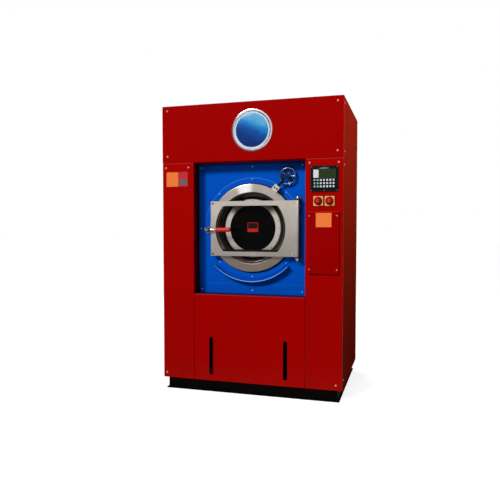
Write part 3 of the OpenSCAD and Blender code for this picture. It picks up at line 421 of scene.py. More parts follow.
def perforated(name, colour):
    """The basket's steel sheet, with staggered rows of holes that are pressed in from inside and painted near
    black, the painted shade seen through them.
    """
    pitch, hole, row = 24.0, 5.2, 0.87
    f = Finish(name)
    y = f.axes()[1]
    across, up, away = f.from_axis(AXIS_X, AXIS_Z)
    radius = basket.w / 2
    count = 2 * round(math.pi * radius / pitch)
    turn = f.maths("ARCTAN2", up, across) * (count / TURN)
    along = (y - FRONT) / (pitch * row * MM)
    odd = f.maths("FLOORED_MODULO", f.maths("FLOOR", along), 2.0) * 0.5
    u = f.maths("FRACT", turn + odd) - 0.5
    v = f.maths("FRACT", along) - 0.5
    off = (u * u + v * v * 0.757) ** 0.5 * pitch
    edge = f.smooth(off, hole - 0.4, hole + 1.6)
    inside = 1 - f.smooth(off, hole - 0.4, hole + 0.4)
    lines = f.noise(1.6, detail=3, stretch=(1, 60, 1))
    wall = f.smooth(away * away, (0.9 * radius * MM) ** 2, (0.95 * radius * MM) ** 2)
    # The holes are painted near black: painted shade seen through them.
    pierced = f.limit(inside * wall)
    return f.surface({
        "Base Color": f.mix(pierced, f.scaled(colour, 0.86 + 0.28 * lines), srgb(9, 9, 10)),
        "Metallic": 0.7 * (1 - pierced),
        "Roughness": 0.3 + 0.12 * lines + 0.4 * pierced,
        "Normal": f.bump(edge, 1.2),
    })


def cast(name, colour):
    """A sand casting under thin paint."""
    f = Finish(name)
    grain = f.noise(2.2, detail=4)
    wear_and_highlight = f.smooth(f.noise(28, detail=5), 0.55, 0.75)
    return f.surface({
        "Base Color": f.mix(wear_and_highlight, colour, shade(colour, 0.62)),
        "Metallic": 0.6,
        "Roughness": 0.55 + 0.2 * grain,
        "Normal": f.bump(grain, 0.18),
    })


def moulded(name, colour, rough=0.35, shine=0.3, grain=0.02, spread=0.06):
    """Moulded plastic or rubber with a fine grain."""
    f = Finish(name)
    fine = f.noise(1.1, detail=2)
    cloud = f.noise(16, detail=3)
    return f.surface({
        "Base Color": f.mix(cloud, shade(colour, 1 - spread), shade(colour, 1 + spread)),
        "Roughness": rough + 0.12 * fine,
        "Specular IOR Level": shine,
        "Normal": f.bump(fine, grain),
    })


def knob_red(name, space):
    """Red plastic, its skirt darker with painted shade and the top of its grip lighter with a painted
    highlight.
    """
    f = Finish(name)
    radius = f.from_axis(space.x, space.z)[2]
    # Painted highlight on the grip's top, and painted shade on the skirt.
    tone = f.mix(f.smooth(radius, 8 * MM, 15 * MM), srgb(220, 40, 44), srgb(136, 8, 4))
    return f.surface({
        "Base Color": f.scaled(tone, 0.92 + 0.16 * f.noise(16, detail=3)),
        "Roughness": 0.3 + 0.12 * f.noise(1.1),
        "Specular IOR Level": 0.12,
    })


def badge_dome():
    """Blue enamel under clear resin, with painted shade at its foot and a painted highlight at its upper
    right.
    """
    f = Finish("badge_dome")
    x, _, z = f.axes()
    # Painted highlight to the upper right and painted shade to the foot.
    rise = f.smooth((z - BADGE_Z * MM) + 0.45 * (x - BADGE_X * MM), -0.09, 0.1)
    cloud = f.noise(46, detail=2)
    stops = [
        (0.0, srgb(8, 44, 116)), (1.0, srgb(96, 176, 226)),
        (0.45, srgb(12, 84, 166)), (0.75, srgb(32, 132, 206)),
    ]
    tone = f.node("ValToRGB", {"stops": stops}, {"Fac": f.limit(rise + 0.3 * cloud - 0.15)})
    return f.surface({
        "Base Color": tone,
        "Roughness": 0.12 + 0.1 * cloud,
        "Specular IOR Level": 0.12,
    })


def dark_glass():
    """Tempered glass, painted near black for the shade of the dark drum behind it, with faint smears."""
    f = Finish("dark_glass")
    smear = f.noise(55, detail=4)
    return f.surface({
        "Base Color": f.mix(smear, srgb(3, 3, 4), srgb(8, 8, 9)),
        "Roughness": 0.06 + 0.1 * smear,
        "Specular IOR Level": 0.025,
    })


def display_glass():
    """The display's green glass, with its rows of cells just seen."""
    f = Finish("display_glass")
    x, _, z = f.axes()
    cells = f.maths("SINE", (x - screen.x * MM) * (TURN / (4.6 * MM)))
    rows = f.maths("SINE", (z - screen.z * MM) * (TURN / (9.0 * MM)))
    grid = f.smooth(cells * 0.5 + rows * 0.5, -0.2, 0.8)
    return f.surface({
        "Base Color": f.mix(grid, srgb(36, 50, 26), srgb(50, 64, 32)),
        "Roughness": 0.2 + 0.1 * f.noise(20, detail=2),
        "Specular IOR Level": 0.06,
    })


DUST = srgb(110, 96, 86)
DUST_TOP = 280
RETURN_SHADE_FADE = 70
GLEAM_RISE, GLEAM_SIDE = 0.985, -0.174

RED = paint("red_powder_coat", srgb(163, 1, 0))
# Painted shade on the columns' returns in the recess, and a painted highlight along their top edge.
COLUMN_RED = paint(
    "column_powder_coat", srgb(172, 3, 0), foot_shade_share=0.74, return_shade=(srgb(108, 0, 6), srgb(44, 6, 16)),
    lines=[(left_column.z1, 8, 0.55, srgb(216, 66, 58))])
# Painted shade and a painted reflection of the blue panel on the recess floor, and a painted highlight along
# the top bend.
LOWER_RED = paint(
    "lower_powder_coat", srgb(171, 2, 0), foot_shade_share=0.78, return_shade=(srgb(110, 26, 54), srgb(30, 24, 66)),
    lines=[(lower_panel.z1, 7, 0.6, srgb(206, 60, 66))])
# A painted highlight along the lid's top edge.
LID_RED = paint("lid_powder_coat", srgb(160, 1, 0), lines=[(access.z1, 6, 0.4, srgb(206, 60, 52))])
# Copies of the red paint with painted sheen in their colour and no specular, darker towards the foot with
# painted shade.
SIDE_RED = paint("side_powder_coat", srgb(155, 34, 16), rough=0.5, shine=0.0, foot_shade_share=0.4)
REAR_RED = paint("rear_powder_coat", srgb(156, 20, 10), rough=0.5, shine=0.0, foot_shade_share=0.68)
# A faint painted highlight line low on the panel, and a deep band of painted shade under the fascia's
# overhang.
BLUE = paint("blue_powder_coat", srgb(0, 86, 202), foot_shade_share=0.8, lines=[
    (lower_panel.z1 + 65, 5, 0.14, srgb(70, 130, 210)),
    (fascia.z0 + 4, 34, 0.85, srgb(0, 10, 34)),
])
FLANGE_BLUE = edge_highlight_paint("flange_powder_coat", srgb(0, 85, 200), srgb(96, 152, 222))
BASE_BLACK = paint("base_black", srgb(8, 8, 7), rough=0.55, shine=0.004, dust=0.012)
FRAME_GREY = paint("frame_grey", srgb(58, 60, 63), rough=0.55, shine=0.2)
MOTOR_GREY = paint("motor_enamel", srgb(62, 72, 80), rough=0.45, shine=0.3)
# Painted shade darkens the door plate towards its foot.
PLATE_STEEL = brushed("plate_steel", srgb(169, 161, 152), along="z", spread=0.16, over=plate, foot_shade=0.34)
# Painted light from foot to top, rays of painted sheen, a painted highlight ray near the top and a painted
# highlight on the inner lip.
RING_STEEL = turned(
    "ring_steel", srgb(114, 102, 94), srgb(142, 133, 124), srgb(164, 156, 148), rays=0.1,
    gleam=srgb(230, 226, 220), lip=RING_LIP_R)
# Painted light from foot to top, and the painted shadow under the window's top bar.
CLAMP_STEEL = turned(
    "clamp_steel", srgb(160, 153, 144), srgb(182, 176, 168), srgb(176, 169, 160),
    shadow=srgb(66, 60, 54))
# Dark painted reflections: tones from foot to top, strong rays of painted sheen, and one side lighter.
BOWL_STEEL = turned(
    "bowl_steel", srgb(66, 58, 51), srgb(46, 41, 36), srgb(32, 28, 24), rough=0.24, metallic=0.7,
    ringed=0.16, rays=0.6, lean=0.4)
DRUM_STEEL = brushed("drum_steel", srgb(150, 150, 150), along="d")
TUB_STEEL = brushed("tub_steel", srgb(120, 120, 120), along="d", rough=0.4)
LUG_STEEL = brushed("lug_steel", srgb(178, 171, 162), along="z")
LATCH_STEEL = brushed("latch_steel", srgb(92, 88, 88), along="z")
# These three steels carry painted reflection bands that follow their form.
BRIGHT = plated("bright_steel", srgb(96, 91, 86), srgb(206, 202, 196), share=0.7)
CHROME = plated("chrome", srgb(30, 34, 52), srgb(138, 144, 160), share=0.1, scale=3.4)
LEVER_STEEL = levered("lever_steel", srgb(70, 66, 62), srgb(190, 185, 177), LATCH_X, grip.z)
DARK_STEEL = polished("oiled_steel", srgb(26, 27, 38), rough=0.32)
# Pink from a painted reflection of the red paint around it.
SCREW_STEEL = polished("screw_steel", srgb(206, 132, 120), rough=0.3, metallic=0.5)
# Light blue from a painted reflection of the blue panel around it.
BLUE_SCREW_STEEL = polished("panel_screw_steel", srgb(142, 176, 230), rough=0.35, metallic=0.3)
CLAMP_SCREW_STEEL = polished("clamp_screw_steel", srgb(60, 55, 50), rough=0.35)
CASTING = cast("casting", srgb(96, 98, 102))
BRASS = polished("brass", srgb(190, 158, 84), rough=0.25)
RUBBER = moulded("black_rubber", srgb(15, 15, 16), rough=0.6, shine=0.06, grain=0.05)
BLACK_PLASTIC = moulded("black_plastic", srgb(13, 15, 17), rough=0.36, shine=0.05)
GREY_PLASTIC = moulded("pipe_plastic", srgb(80, 83, 86), rough=0.45)
KEY_WHITE = moulded("key_white", srgb(206, 214, 212), rough=0.4, shine=0.1)
KEY_GREEN = moulded("key_green", srgb(140, 172, 172), rough=0.4, shine=0.1)
AMBER = moulded("amber_plastic", srgb(250, 172, 96), rough=0.35, shine=0.1, spread=0.12)
GRIP_RED = moulded("grip_red", srgb(204, 16, 12), rough=0.22, shine=0.2)
LABEL_ORANGE = moulded("label_orange", srgb(244, 126, 60), rough=0.55, shine=0.05, spread=0.1)
LABEL_PINK = moulded("label_pink", srgb(196, 50, 62), rough=0.55, shine=0.05, spread=0.16)
LABEL_GREY = moulded("label_grey", srgb(98, 104, 106), rough=0.55, shine=0.05, spread=0.2)
LABEL_WHITE = moulded("label_white", srgb(222, 222, 218), rough=0.5, shine=0.1)
LABEL_RED = moulded("label_red", srgb(196, 34, 26), rough=0.5, shine=0.05)
LABEL_BLACK = moulded("label_black", srgb(30, 12, 11), rough=0.5, shine=0.05)
BORDER_GREY = moulded("border_grey", srgb(56, 62, 62), rough=0.35, shine=0.1)
# Painted reflection bands on the badge's rim.
BADGE_SILVER = plated("badge_silver", srgb(92, 94, 100), srgb(196, 199, 204), share=0.7, scale=2.2)
BADGE_WHITE = moulded("badge_white", srgb(216, 224, 232), rough=0.3, shine=0.05)
HEM_BLUE = hem_highlight_paint("hem_powder_coat", srgb(0, 70, 176), srgb(150, 198, 244))
CAP_BROWN = moulded("cap_brown", srgb(98, 42, 40), rough=0.4, shine=0.05)
KEYPAD_BLUE = moulded("keypad_blue", srgb(12, 17, 23), rough=0.4, shine=0.03)
STRIP_GREY = moulded("strip_grey", srgb(150, 158, 164), rough=0.4, shine=0.1)
# Dark red of painted shade, for the collar under each knob.
KNOB_SHADE_RED = moulded("knob_shade_red", srgb(128, 26, 10), rough=0.4, shine=0.05)
BADGE_BLUE = badge_dome()
# Near black glass: painted shade of the drum behind it.
DARK_GLASS = dark_glass()
DISPLAY = display_glass()


# ---------- shapes ----------


class Shape:
    """A mesh in the making, in millimetres: x to the right, d backwards from the front, z up."""

    def __init__(self):
        self.mesh = bmesh.new()

    def point(self, x, d, z):
        return self.mesh.verts.new((x * MM, FRONT + d * MM, z * MM))

    def loft(self, rings):
        """Skins rings of as many points each, and closes both ends."""
        made = [[self.point(*p) for p in ring_points] for ring_points in rings]
        count = len(made[0])
        for one, two in zip(made, made[1:]):
            for i in range(count):
                j = (i + 1) % count
                self.mesh.faces.new((one[i], one[j], two[j], two[i]))
        self.mesh.faces.new(made[0])
        self.mesh.faces.new(reversed(made[-1]))

    def prism(self, outline, d0, d1):
        """An outline drawn in x and z, from depth d0 to d1."""
        self.loft([[(x, d, z) for x, z in outline] for d in (d0, d1)])

    def lathe(self, profile, x, z, steps=96):
        """A closed profile in radius and depth, turned about the line through x, z."""
        made = []
        for i in range(steps):
            a = TURN * i / steps
            made.append([self.point(x + r * math.cos(a), d, z + r * math.sin(a)) for r, d in profile])
        count = len(profile)
        for i in range(steps):
            one, two = made[i], made[(i + 1) % steps]
            for j in range(count):
                k = (j + 1) % count
                self.mesh.faces.new((one[j], two[j], two[k], one[k]))

    def knob(self, profile, x, z, steps=48):
        """A solid turned piece: its profile runs from the axis, over its face, back to the axis."""
        start, *middle, end = profile
        tip = self.point(x, start[1], z)
        foot = self.point(x, end[1], z)
        rings = []
        for i in range(steps):
            a = TURN * i / steps
            rings.append([self.point(x + r * math.cos(a), d, z + r * math.sin(a)) for r, d in middle])
        for i in range(steps):
            one, two = rings[i], rings[(i + 1) % steps]
            self.mesh.faces.new((tip, two[0], one[0]))
            for j in range(len(middle) - 1):
                self.mesh.faces.new((one[j], two[j], two[j + 1], one[j + 1]))
            self.mesh.faces.new((one[-1], two[-1], foot))

    def tube(self, points, radius):
        """A round bar along a line of points."""
        sides = 20
        points = [Vector(p) for p in points]
        last = len(points) - 1
        rings, side = [], None
        for i, p in enumerate(points):
            along = (points[min(i + 1, last)] - points[max(i - 1, 0)]).normalized()
            if side is None:
                side = along.orthogonal().normalized()
            side = (side - along * side.dot(along)).normalized()
            other = along.cross(side)
            turns = [TURN * j / sides for j in range(sides)]
            rings.append([p + radius * (side * math.cos(a) + other * math.sin(a)) for a in turns])
        self.loft(rings)

    def piece(self, name, finish, body, replaces=(), slot=None, bevel=0.0, steps=2, sharp=35):
        """Makes the mesh an object that rides on this body, with its edges rounded by the bevel."""
        bmesh.ops.recalc_face_normals(self.mesh, faces=self.mesh.faces)
        data = bpy.data.meshes.new(name)
        self.mesh.to_mesh(data)
        self.mesh.free()
        data.materials.append(finish)
        data.polygons.foreach_set("use_smooth", [True] * len(data.polygons))
        made = bpy.data.objects.new(name, data)
        bpy.context.scene.collection.objects.link(made)
        if bevel:
            round_edges(made, bevel, steps, sharp)
        else:
            data.set_sharp_from_angle(angle=math.radians(sharp))
        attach(made, body)
        if replaces:
            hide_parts(*replaces)


def round_edges(made, width, steps=2, sharp=35):
    bevel = made.modifiers.new("edges", "BEVEL")
    bevel.width = width * MM
    bevel.segments = steps
    bevel.limit_method = "ANGLE"
    bevel.angle_limit = math.radians(sharp)
    bevel.harden_normals = True
    bevel.miter_outer = "MITER_ARC"


def ease(node, finish, width=0.0, steps=2, join_flats=True):
    """Gives a CAD node its finish, and rounds its edges where it has a width.

    A face with many holes is best not joined from its parts first.
    """
    made = NODES[node]
    made.data.materials.clear()
    made.data.materials.append(finish)
    if width:
        weld = made.modifiers.new("join", "WELD")
        weld.merge_threshold = 1e-6
        if join_flats:
            flats = made.modifiers.new("flats", "DECIMATE")
            flats.decimate_type = "DISSOLVE"
            flats.angle_limit = math.radians(0.4)
        round_edges(made, width, steps)


def rounded(x0, x1, z0, z1, radius):
    """The points of a rectangle with round corners."""
    steps = 5
    corners = (
        (x1 - radius, z0 + radius, 270), (x1 - radius, z1 - radius, 0),
        (x0 + radius, z1 - radius, 90), (x0 + radius, z0 + radius, 180),
    )
    outline = []
    for cx, cz, start in corners:
        for i in range(steps + 1):
            a = math.radians(start + 90 * i / steps)
            outline.append((cx + radius * math.cos(a), cz + radius * math.sin(a)))
    return outline


# ---------- screws ----------


def cross_head(shape, x, d, z, radius, height, spin=0.0, facing=-1, cross=True):
    """A domed screw head on a thin washer, with a cross recess.

    Facing is -1 for a head that looks to the front, and 1 for one that looks to the back.
    """
    steps, levels = 24, 7
    recess = height * 0.45 if cross else 0.0
    arm_length, arm_width, washer = radius * 0.5, radius * 0.14, 0.2
    rings = []
    for level in range(levels + 1):
        share = level / levels
        r = radius * math.sin(share * math.pi / 2)
        rise = height * math.cos(share * math.pi / 2) ** 0.8 if share < 1 else 0.0
        ring_points = []
        for i in range(steps):
            a = TURN * i / steps
            u, v = abs(r * math.cos(a + spin)), abs(r * math.sin(a + spin))
            inside = max(u, v) < arm_length and min(u, v) < arm_width
            sink = recess if inside else 0.0
            ring_points.append((x + r * math.cos(a), d + facing * (rise - sink), z + r * math.sin(a)))
        rings.append(ring_points)
    tip = shape.point(x, d + facing * (height - recess), z)
    made = [[shape.point(*p) for p in ring_points] for ring_points in rings[1:]]
    made.append([shape.point(px, d - facing * washer, pz) for px, _, pz in rings[-1]])
    for i in range(steps):
        j = (i + 1) % steps
        shape.mesh.faces.new((tip, made[0][i], made[0][j]))
        for one, two in zip(made, made[1:]):
            shape.mesh.faces.new((one[i], two[i], two[j], one[j]))
    shape.mesh.faces.new(made[-1])


def countersunk(shape, hand, face, d, z):
    """A low round screw head, on the side panel on this hand."""
    radius, height, steps = 6.0, 2.4, 20
    profile = [
        (radius, -0.2), (radius, height * 0.35), (radius * 0.8, height * 0.85), (radius * 0.5, height),
    ]
    turns = [TURN * i / steps for i in range(steps)]
    shape.loft([
        [(hand * (face + out), d + r * math.cos(a), z + r * math.sin(a)) for a in turns] for r, out in profile
    ])


def casing_screws():
    shape = Shape()
    big, small, tiny = (6.5, 3.2), (4.5, 2.2), (2.5, 1.5)
    edges, columns = (-1, 1), (-1, 0, 1)
    reach, foot = fascia.x1 - 37, left_column.z0 + 33
    places = [(x * reach, fascia.d0, z, big) for x in edges for z in (fascia.z0 + 42, fascia.z1 - 31)]
    places += [(x, 0, fascia.z0 - 32, big) for x in (left_column.x0 + 25, left_column.x1 - 37)]
    places += [(x, 0, fascia.z0 - 28, big) for x in (right_column.x0 + 26, right_column.x1 - 30)]
    places += [(x, 0, foot, big) for x in (left_column.x0 + 24, right_column.x1 - 39)]
    places += [
        (access.x + x * (access.w / 2 - 12), LID_FRONT, access.z + z * (access.h / 2 - 27), small)
        for x in edges for z in edges
    ]
    places += [
        (case.x + x * (case.w / 2 - 7), case.d0, case.z + z * (case.h / 2 - 7), tiny)
        for x in columns for z in edges
    ]
    for i, (x, d, z, (radius, height)) in enumerate(places):
        cross_head(shape, x, d, z, radius, height, spin=1.1 * i)
    back = Space("rear_lower_panel")
    rear_rows = (back.z0 + 60, back.z1 - 12, back.z1 + 14, fascia.z1 - 22)
    for x in (fascia.x0 + 27, 0, fascia.x1 - 27):
        for z in rear_rows if x else rear_rows[1:]:
            cross_head(shape, x, back.d1, z, *small, spin=x + z, facing=1)
    shape.piece("casing_screw_heads", SCREW_STEEL, "machine", replaces=["casing_screws"], slot="screws")


def side_screws():
    shape = Shape()
    side = Space("right_side_panel")
    foot, head = side.z0 + 60, side.z1 - 40
    rows = [(side.d0 + 26, z) for z in (foot, fascia.z0 - 40, fascia.z0 + 40, head)]
    rows += [(side.d1 - 27, z) for z in (foot, lower_panel.z1, fascia.z0, head)]
    for hand in (-1, 1):
        for d, z in rows:
            countersunk(shape, hand, side.x1, d, z)
    shape.piece("side_screw_heads", SCREW_STEEL, "machine", slot="screws")


# ---------- door ----------


def hex_nut(shape, x, z, d0, d1, across, spin=0.0):
    """A six-sided nut about a line along the depth, its corners chamfered."""
    corner = across / math.sqrt(3)
    chamfer = (d1 - d0) * 0.16
    turns = [TURN * i / 6 + spin for i in range(6)]
    rings = []
    for d, share in ((d0, 0.9), (d0 + chamfer, 1.0), (d1 - chamfer, 1.0), (d1, 0.9)):
        r = share * corner
        rings.append([(x + r * math.cos(a), d, z + r * math.sin(a)) for a in turns])
    shape.loft(rings)


def door_pieces():
    ease("door_frame", PLATE_STEEL, 1.0, 3)
    ease("door_bowl", BOWL_STEEL)
    ease("door_gasket", RUBBER, 0.8)
    ease("door_glass", DARK_GLASS)
    ease("door_clamp_ring", CLAMP_STEEL, 0.8)
    ease("latch_lug", LATCH_STEEL, 1.2)
    clamp_screws, plate_screws, hinge_screws = Shape(), Shape(), Shape()
    count, small, large = 24, (3, 1.6), (6, 3)
    radius = clamp.w / 2 - 8
    for i in range(count):
        a = TURN * i / count
        x, z = AXIS_X + radius * math.sin(a), AXIS_Z + radius * math.cos(a)
        cross_head(clamp_screws, x, clamp.d0, z, *small, spin=i)
    for z in (plate.z0 + SCREW_INSET, plate.z1 - SCREW_INSET):
        cross_head(plate_screws, plate.x0 + SCREW_INSET, plate.d0, z, *large, cross=False)
        cross_head(hinge_screws, pin.x - 30, plate.d0, z, *large, cross=False)
    clamp_screws.piece(
        "clamp_ring_screw_heads", CLAMP_SCREW_STEEL, "door", replaces=["door_screws"], slot="screws")
    plate_screws.piece("door_plate_screw_heads", CLAMP_SCREW_STEEL, "door", slot="screws")
    hinge_screws.piece("door_hinge_screw_heads", LUG_STEEL, "door", slot="screws")
    sill_shade_strip()
    glass_plate()


def sill_shade_strip():
    """A black strip along the cropped foot of the window, with a sloped end at each side: painted shade, a
    dark piece in the shaded gap there.
    """
    shape = Shape()
    low, high = AXIS_Z - 153.9, AXIS_Z - 139.9
    left = [(AXIS_X - 187, high), (AXIS_X - 182, low + 5), (AXIS_X - 174, low)]
    right = [(2 * AXIS_X - x, z) for x, z in reversed(left)]
    shape.prism(left + right, plate.d0 + 3.2, plate.d0 + 14.5)
    shape.piece("window_sill_shade_strip", RUBBER, "door", slot="rubber", bevel=1.0)


def glass_plate():
    """A small plain plate on the glass, with a border that is wider at its foot."""
    outer = rounded(AXIS_X - 36, AXIS_X + 36, AXIS_Z - 26, AXIS_Z + 36, 3)
    inner = rounded(AXIS_X - 33, AXIS_X + 33, AXIS_Z - 4, AXIS_Z + 33, 2)
    sheet, border = Shape(), Shape()
    sheet.prism(outer, glass.d0 - 0.5, glass.d0)
    hoop(border, outer, inner, glass.d0 - 0.9, glass.d0 - 0.5)
    sheet.piece("glass_plate", LABEL_BLACK, "door", bevel=0.1)
    border.piece("glass_plate_border", LABEL_RED, "door", bevel=0.1)


def hoop(shape, outer, inner, d0, d1):
    """A flat frame between two outlines of as many points."""
    profile = [(outer, d0), (outer, d1), (inner, d1), (inner, d0)]
    made = [[shape.point(x, d, z) for x, z in outline] for outline, d in profile]
    count = len(outer)
    for one, two in zip(made, made[1:] + made[:1]):
        for i in range(count):
            j = (i + 1) % count
            shape.mesh.faces.new((one[i], one[j], two[j], two[i]))


def hinge_pieces():
    ease("hinge_brackets", FRAME_GREY, 1.0, join_flats=False)
    ease("hinge_pin", BRIGHT, 0.8)


def latch_pieces():
    """The lever's finish, and the nut and bolt end on its pivot."""
    ease("latch_keeper", LATCH_STEEL, 0.8)
    ease("latch_lever", LEVER_STEEL, 0.8)
    ease("latch_grip", GRIP_RED, 1.0)
    x, z = LATCH_X, grip.z
    front = lever.d0
    nut, bolt = Shape(), Shape()
    hex_nut(nut, x, z, front - 3.5, front + 1.5, 15, spin=0.4)
    bolt.knob([(0, front - 5), (2.5, front - 5), (3.6, front - 4), (3.6, front), (0, front)], x, z, 24)
    nut.piece("latch_pivot_nut", DARK_STEEL, "latch", slot="dark_steel", bevel=0.4)
    bolt.piece("latch_pivot_bolt", LUG_STEEL, "latch", slot="screws")


# ---------- handwheel ----------


def handwheel_pieces():
    ease("handwheel", CHROME, 0.6)
    ease("wheel_arm", DARK_STEEL, 0.8)
    ease("wheel_bracket", LUG_STEEL, 1.0)
    bolts, cap = Shape(), Shape()
    angle = math.atan2(bracket.z - AXIS_Z, bracket.x - AXIS_X)
    for out in (-9, 9):
        x = bracket.x + out * math.cos(angle + math.pi / 2)
        z = bracket.z + out * math.sin(angle + math.pi / 2)
        hex_nut(bolts, x, z, bracket.d0 - 4, bracket.d0 + 0.2, 10, spin=out)
    bolts.piece("bracket_bolts", DARK_STEEL, "machine", slot="dark_steel", bevel=0.3)
    face = arm.d0
    profile = [(0, face - 3), (2.5, face - 2.6), (4.4, face - 1.2), (5, face + 0.5), (0, face + 0.5)]
    cap.knob(profile, wheel.x, wheel.z, 32)
    cap.piece("wheel_arm_cap", CAP_BROWN, "machine")


# ---------- controls ----------


def control_pieces():
    ease("controller_case", BLACK_PLASTIC, 1.5, 3, join_flats=False)
    ease("switch_plates", AMBER, 1.2, 3)
    controller_pieces()
    key_pieces()
    switch_surrounds()
    switch_knob("left_knob", knob_left, "left_switch_knob")
    switch_knob("right_knob", knob_right, "right_switch_knob")


def controller_pieces():
    """What lies on the controller's face: keypad sheet, display, blank plate and a thin strip."""
    face, edge, bezel = case.d0, 13, 3
    pad, border, blank, strip, display = Shape(), Shape(), Shape(), Shape(), Shape()
    sheet = rounded(case.x0 + edge, case.x1 - edge, case.z0 + edge, case.z1 - edge, 6)
    pad.prism(sheet, face - 0.4, face + 0.2)
    outer = rounded(screen.x0 - bezel, screen.x1 + bezel, screen.z0 - bezel, screen.z1 + bezel, 3)
    inner = rounded(screen.x0, screen.x1, screen.z0, screen.z1, 1.5)
    hoop(border, outer, inner, face - 1.2, face - 0.2)
    blank.prism(rounded(case.x0 + 18, case.x0 + 50, screen.z0 + 1, screen.z1 + 1, 3), face - 1, face - 0.2)
    strip_z = screen.z1 + 9
    strip_outline = rounded(screen.x0, screen.x0 + 58, strip_z - 2, strip_z + 2, 1.5)
    strip.prism(strip_outline, face - 0.8, face - 0.2)
    display.prism(outer, face - 0.7, face)
    display.piece(
        "display_window", DISPLAY, "machine", replaces=["controller_screen"], slot="screen", bevel=0.1)
    pad.piece("controller_keypad", KEYPAD_BLUE, "machine", bevel=0.15)
    border.piece("display_border", BORDER_GREY, "machine", bevel=0.3)
    blank.piece("controller_blank_plate", LABEL_WHITE, "machine", bevel=0.3)
    strip.piece("controller_strip", STRIP_GREY, "machine", bevel=0.15)


def key_pieces():
    columns, rows, size = 7, 3, 12.0
    half = size / 2
    pitch = (keys.w - size) / (columns - 1)
    kinds = (
        ("white_keys", KEY_WHITE, range(2, columns), ["controller_keys"]),
        ("green_keys", KEY_GREEN, range(2), []),
    )
    for name, finish, chosen, replaces in kinds:
        shape = Shape()
        for i in chosen:
            for j in range(rows):
                x, z = keys.x0 + half + i * pitch, keys.z1 - half - j * pitch
                shape.prism(rounded(x - half, x + half, z - half, z + half, 3.5), keys.d0, keys.d1)
        shape.piece(name, finish, "machine", replaces=replaces, slot="white_plastic", bevel=0.6, steps=3)


def switch_surrounds():
    """Painted shade: a black rim behind each square switch plate and a thin dark red collar under each knob,
    dark pieces where the plates and knobs cast shade.
    """
    knob_shade_rings, plate_shade_rims = Shape(), Shape()
    half = plates.h / 2 + 3.5
    face = plates.d0
    for space in (knob_left, knob_right):
        outline = rounded(space.x - half, space.x + half, space.z - half, space.z + half, 4)
        plate_shade_rims.prism(outline, -1.2, -0.1)
        inner, outer = space.w / 2 - 6, space.w / 2 + 5.5
        profile = [
            (inner, face + 0.3), (inner, face - 0.3), (outer - 1, face - 0.3), (outer, face - 0.1),
            (outer, face + 0.3),
        ]
        knob_shade_rings.lathe(profile, space.x, space.z, 64)
    plate_shade_rims.piece("switch_plate_shade_rims", RUBBER, "machine", slot="rubber", bevel=0.3)
    knob_shade_rings.piece("switch_knob_shade_collars", KNOB_SHADE_RED, "machine")


def switch_knob(body, space, node):
    """A rotary switch knob: a round skirt with a raised grip that narrows to its front."""
    shape = Shape()
    radius = space.w / 2
    face = plates.d0 - 0.5
    x, z = space.x, space.z
    shape.knob([
        (0, face - 9.5), (radius - 7, face - 9.5), (radius - 4, face - 9), (radius - 1.2, face - 3.5),
        (radius, face - 2), (radius, face), (4, face), (4, -0.5), (0, -0.5),
    ], x, z)
    length = radius * 1.75
    levels = (
        (face - 9, 19, length), (face - 14, 15, length), (space.d0 + 5, 13, length - 2),
        (space.d0 + 1.5, 12, length - 4), (space.d0, 9, length - 8),
    )
    rings = []
    for d, wide, high in levels:
        outline = rounded(x - wide / 2, x + wide / 2, z - high / 2, z + high / 2, wide * 0.42)
        rings.append([(px, d, pz) for px, pz in outline])
    shape.loft(rings)
    shape.piece(
        body + "_cap", knob_red(body + "_red", space), body, replaces=[node], slot="red_plastic",
        bevel=0.5, sharp=40)


# ---------- plain plates where labels sit ----------


def flat_plate(name, x0, x1, z0, z1, face, finish, thick=0.6):
    shape = Shape()
    shape.prism(rounded(x0, x1, z0, z1, 3), face - thick, face)
    shape.piece(name, finish, "machine", bevel=0.15)


def label_pieces():
    left, base = fascia.x0, left_column.z0
    foot, seam = base + 1281, left + 112
    flat_plate("left_plate_orange", left + 28, seam, foot, foot + 95, 0, LABEL_ORANGE)
    flat_plate("left_plate_pink", seam + 0.5, left + 180, foot, foot + 97, 0, LABEL_PINK)
    flat_plate(
        "left_plate_band", seam + 5, left + 175, foot + 11, foot + 44, -0.6, LABEL_GREY, thick=0.2)
    flat_plate(
        "access_plate", access.x - 44, access.x + 52, base + 1013, base + 1100, LID_FRONT, LABEL_ORANGE)


def badge_pieces():
    """A plain round badge: a silver rim, a white band and a blue dome."""
    x, z, face = BADGE_X, BADGE_Z, fascia.d0
    dome_r, rise, lift = 107, 4.2, 1.8
    band, dome, rim = Shape(), Shape(), Shape()
    band.lathe([(106, face), (106, face - 1.6), (116.5, face - 1.6), (116.5, face)], x, z, 128)
    profile = [(0, face - lift - rise)]
    for a in [math.radians(degrees) for degrees in range(9, 91, 9)]:
        profile.append((dome_r * math.sin(a), face - lift - rise * math.cos(a)))
    dome.knob(profile + [(dome_r, face), (0, face)], x, z, 128)
    rim.lathe([
        (116, face), (116, face - 2), (118, face - 3.8), (126, face - 4.6), (133, face - 3.6), (135, face),
    ], x, z, 128)
    rim.piece("badge_rim", BADGE_SILVER, "machine")
    band.piece("badge_band", BADGE_WHITE, "machine")
    dome.piece("badge_dome", BADGE_BLUE, "machine")


# ---------- the frame's own nodes ----------


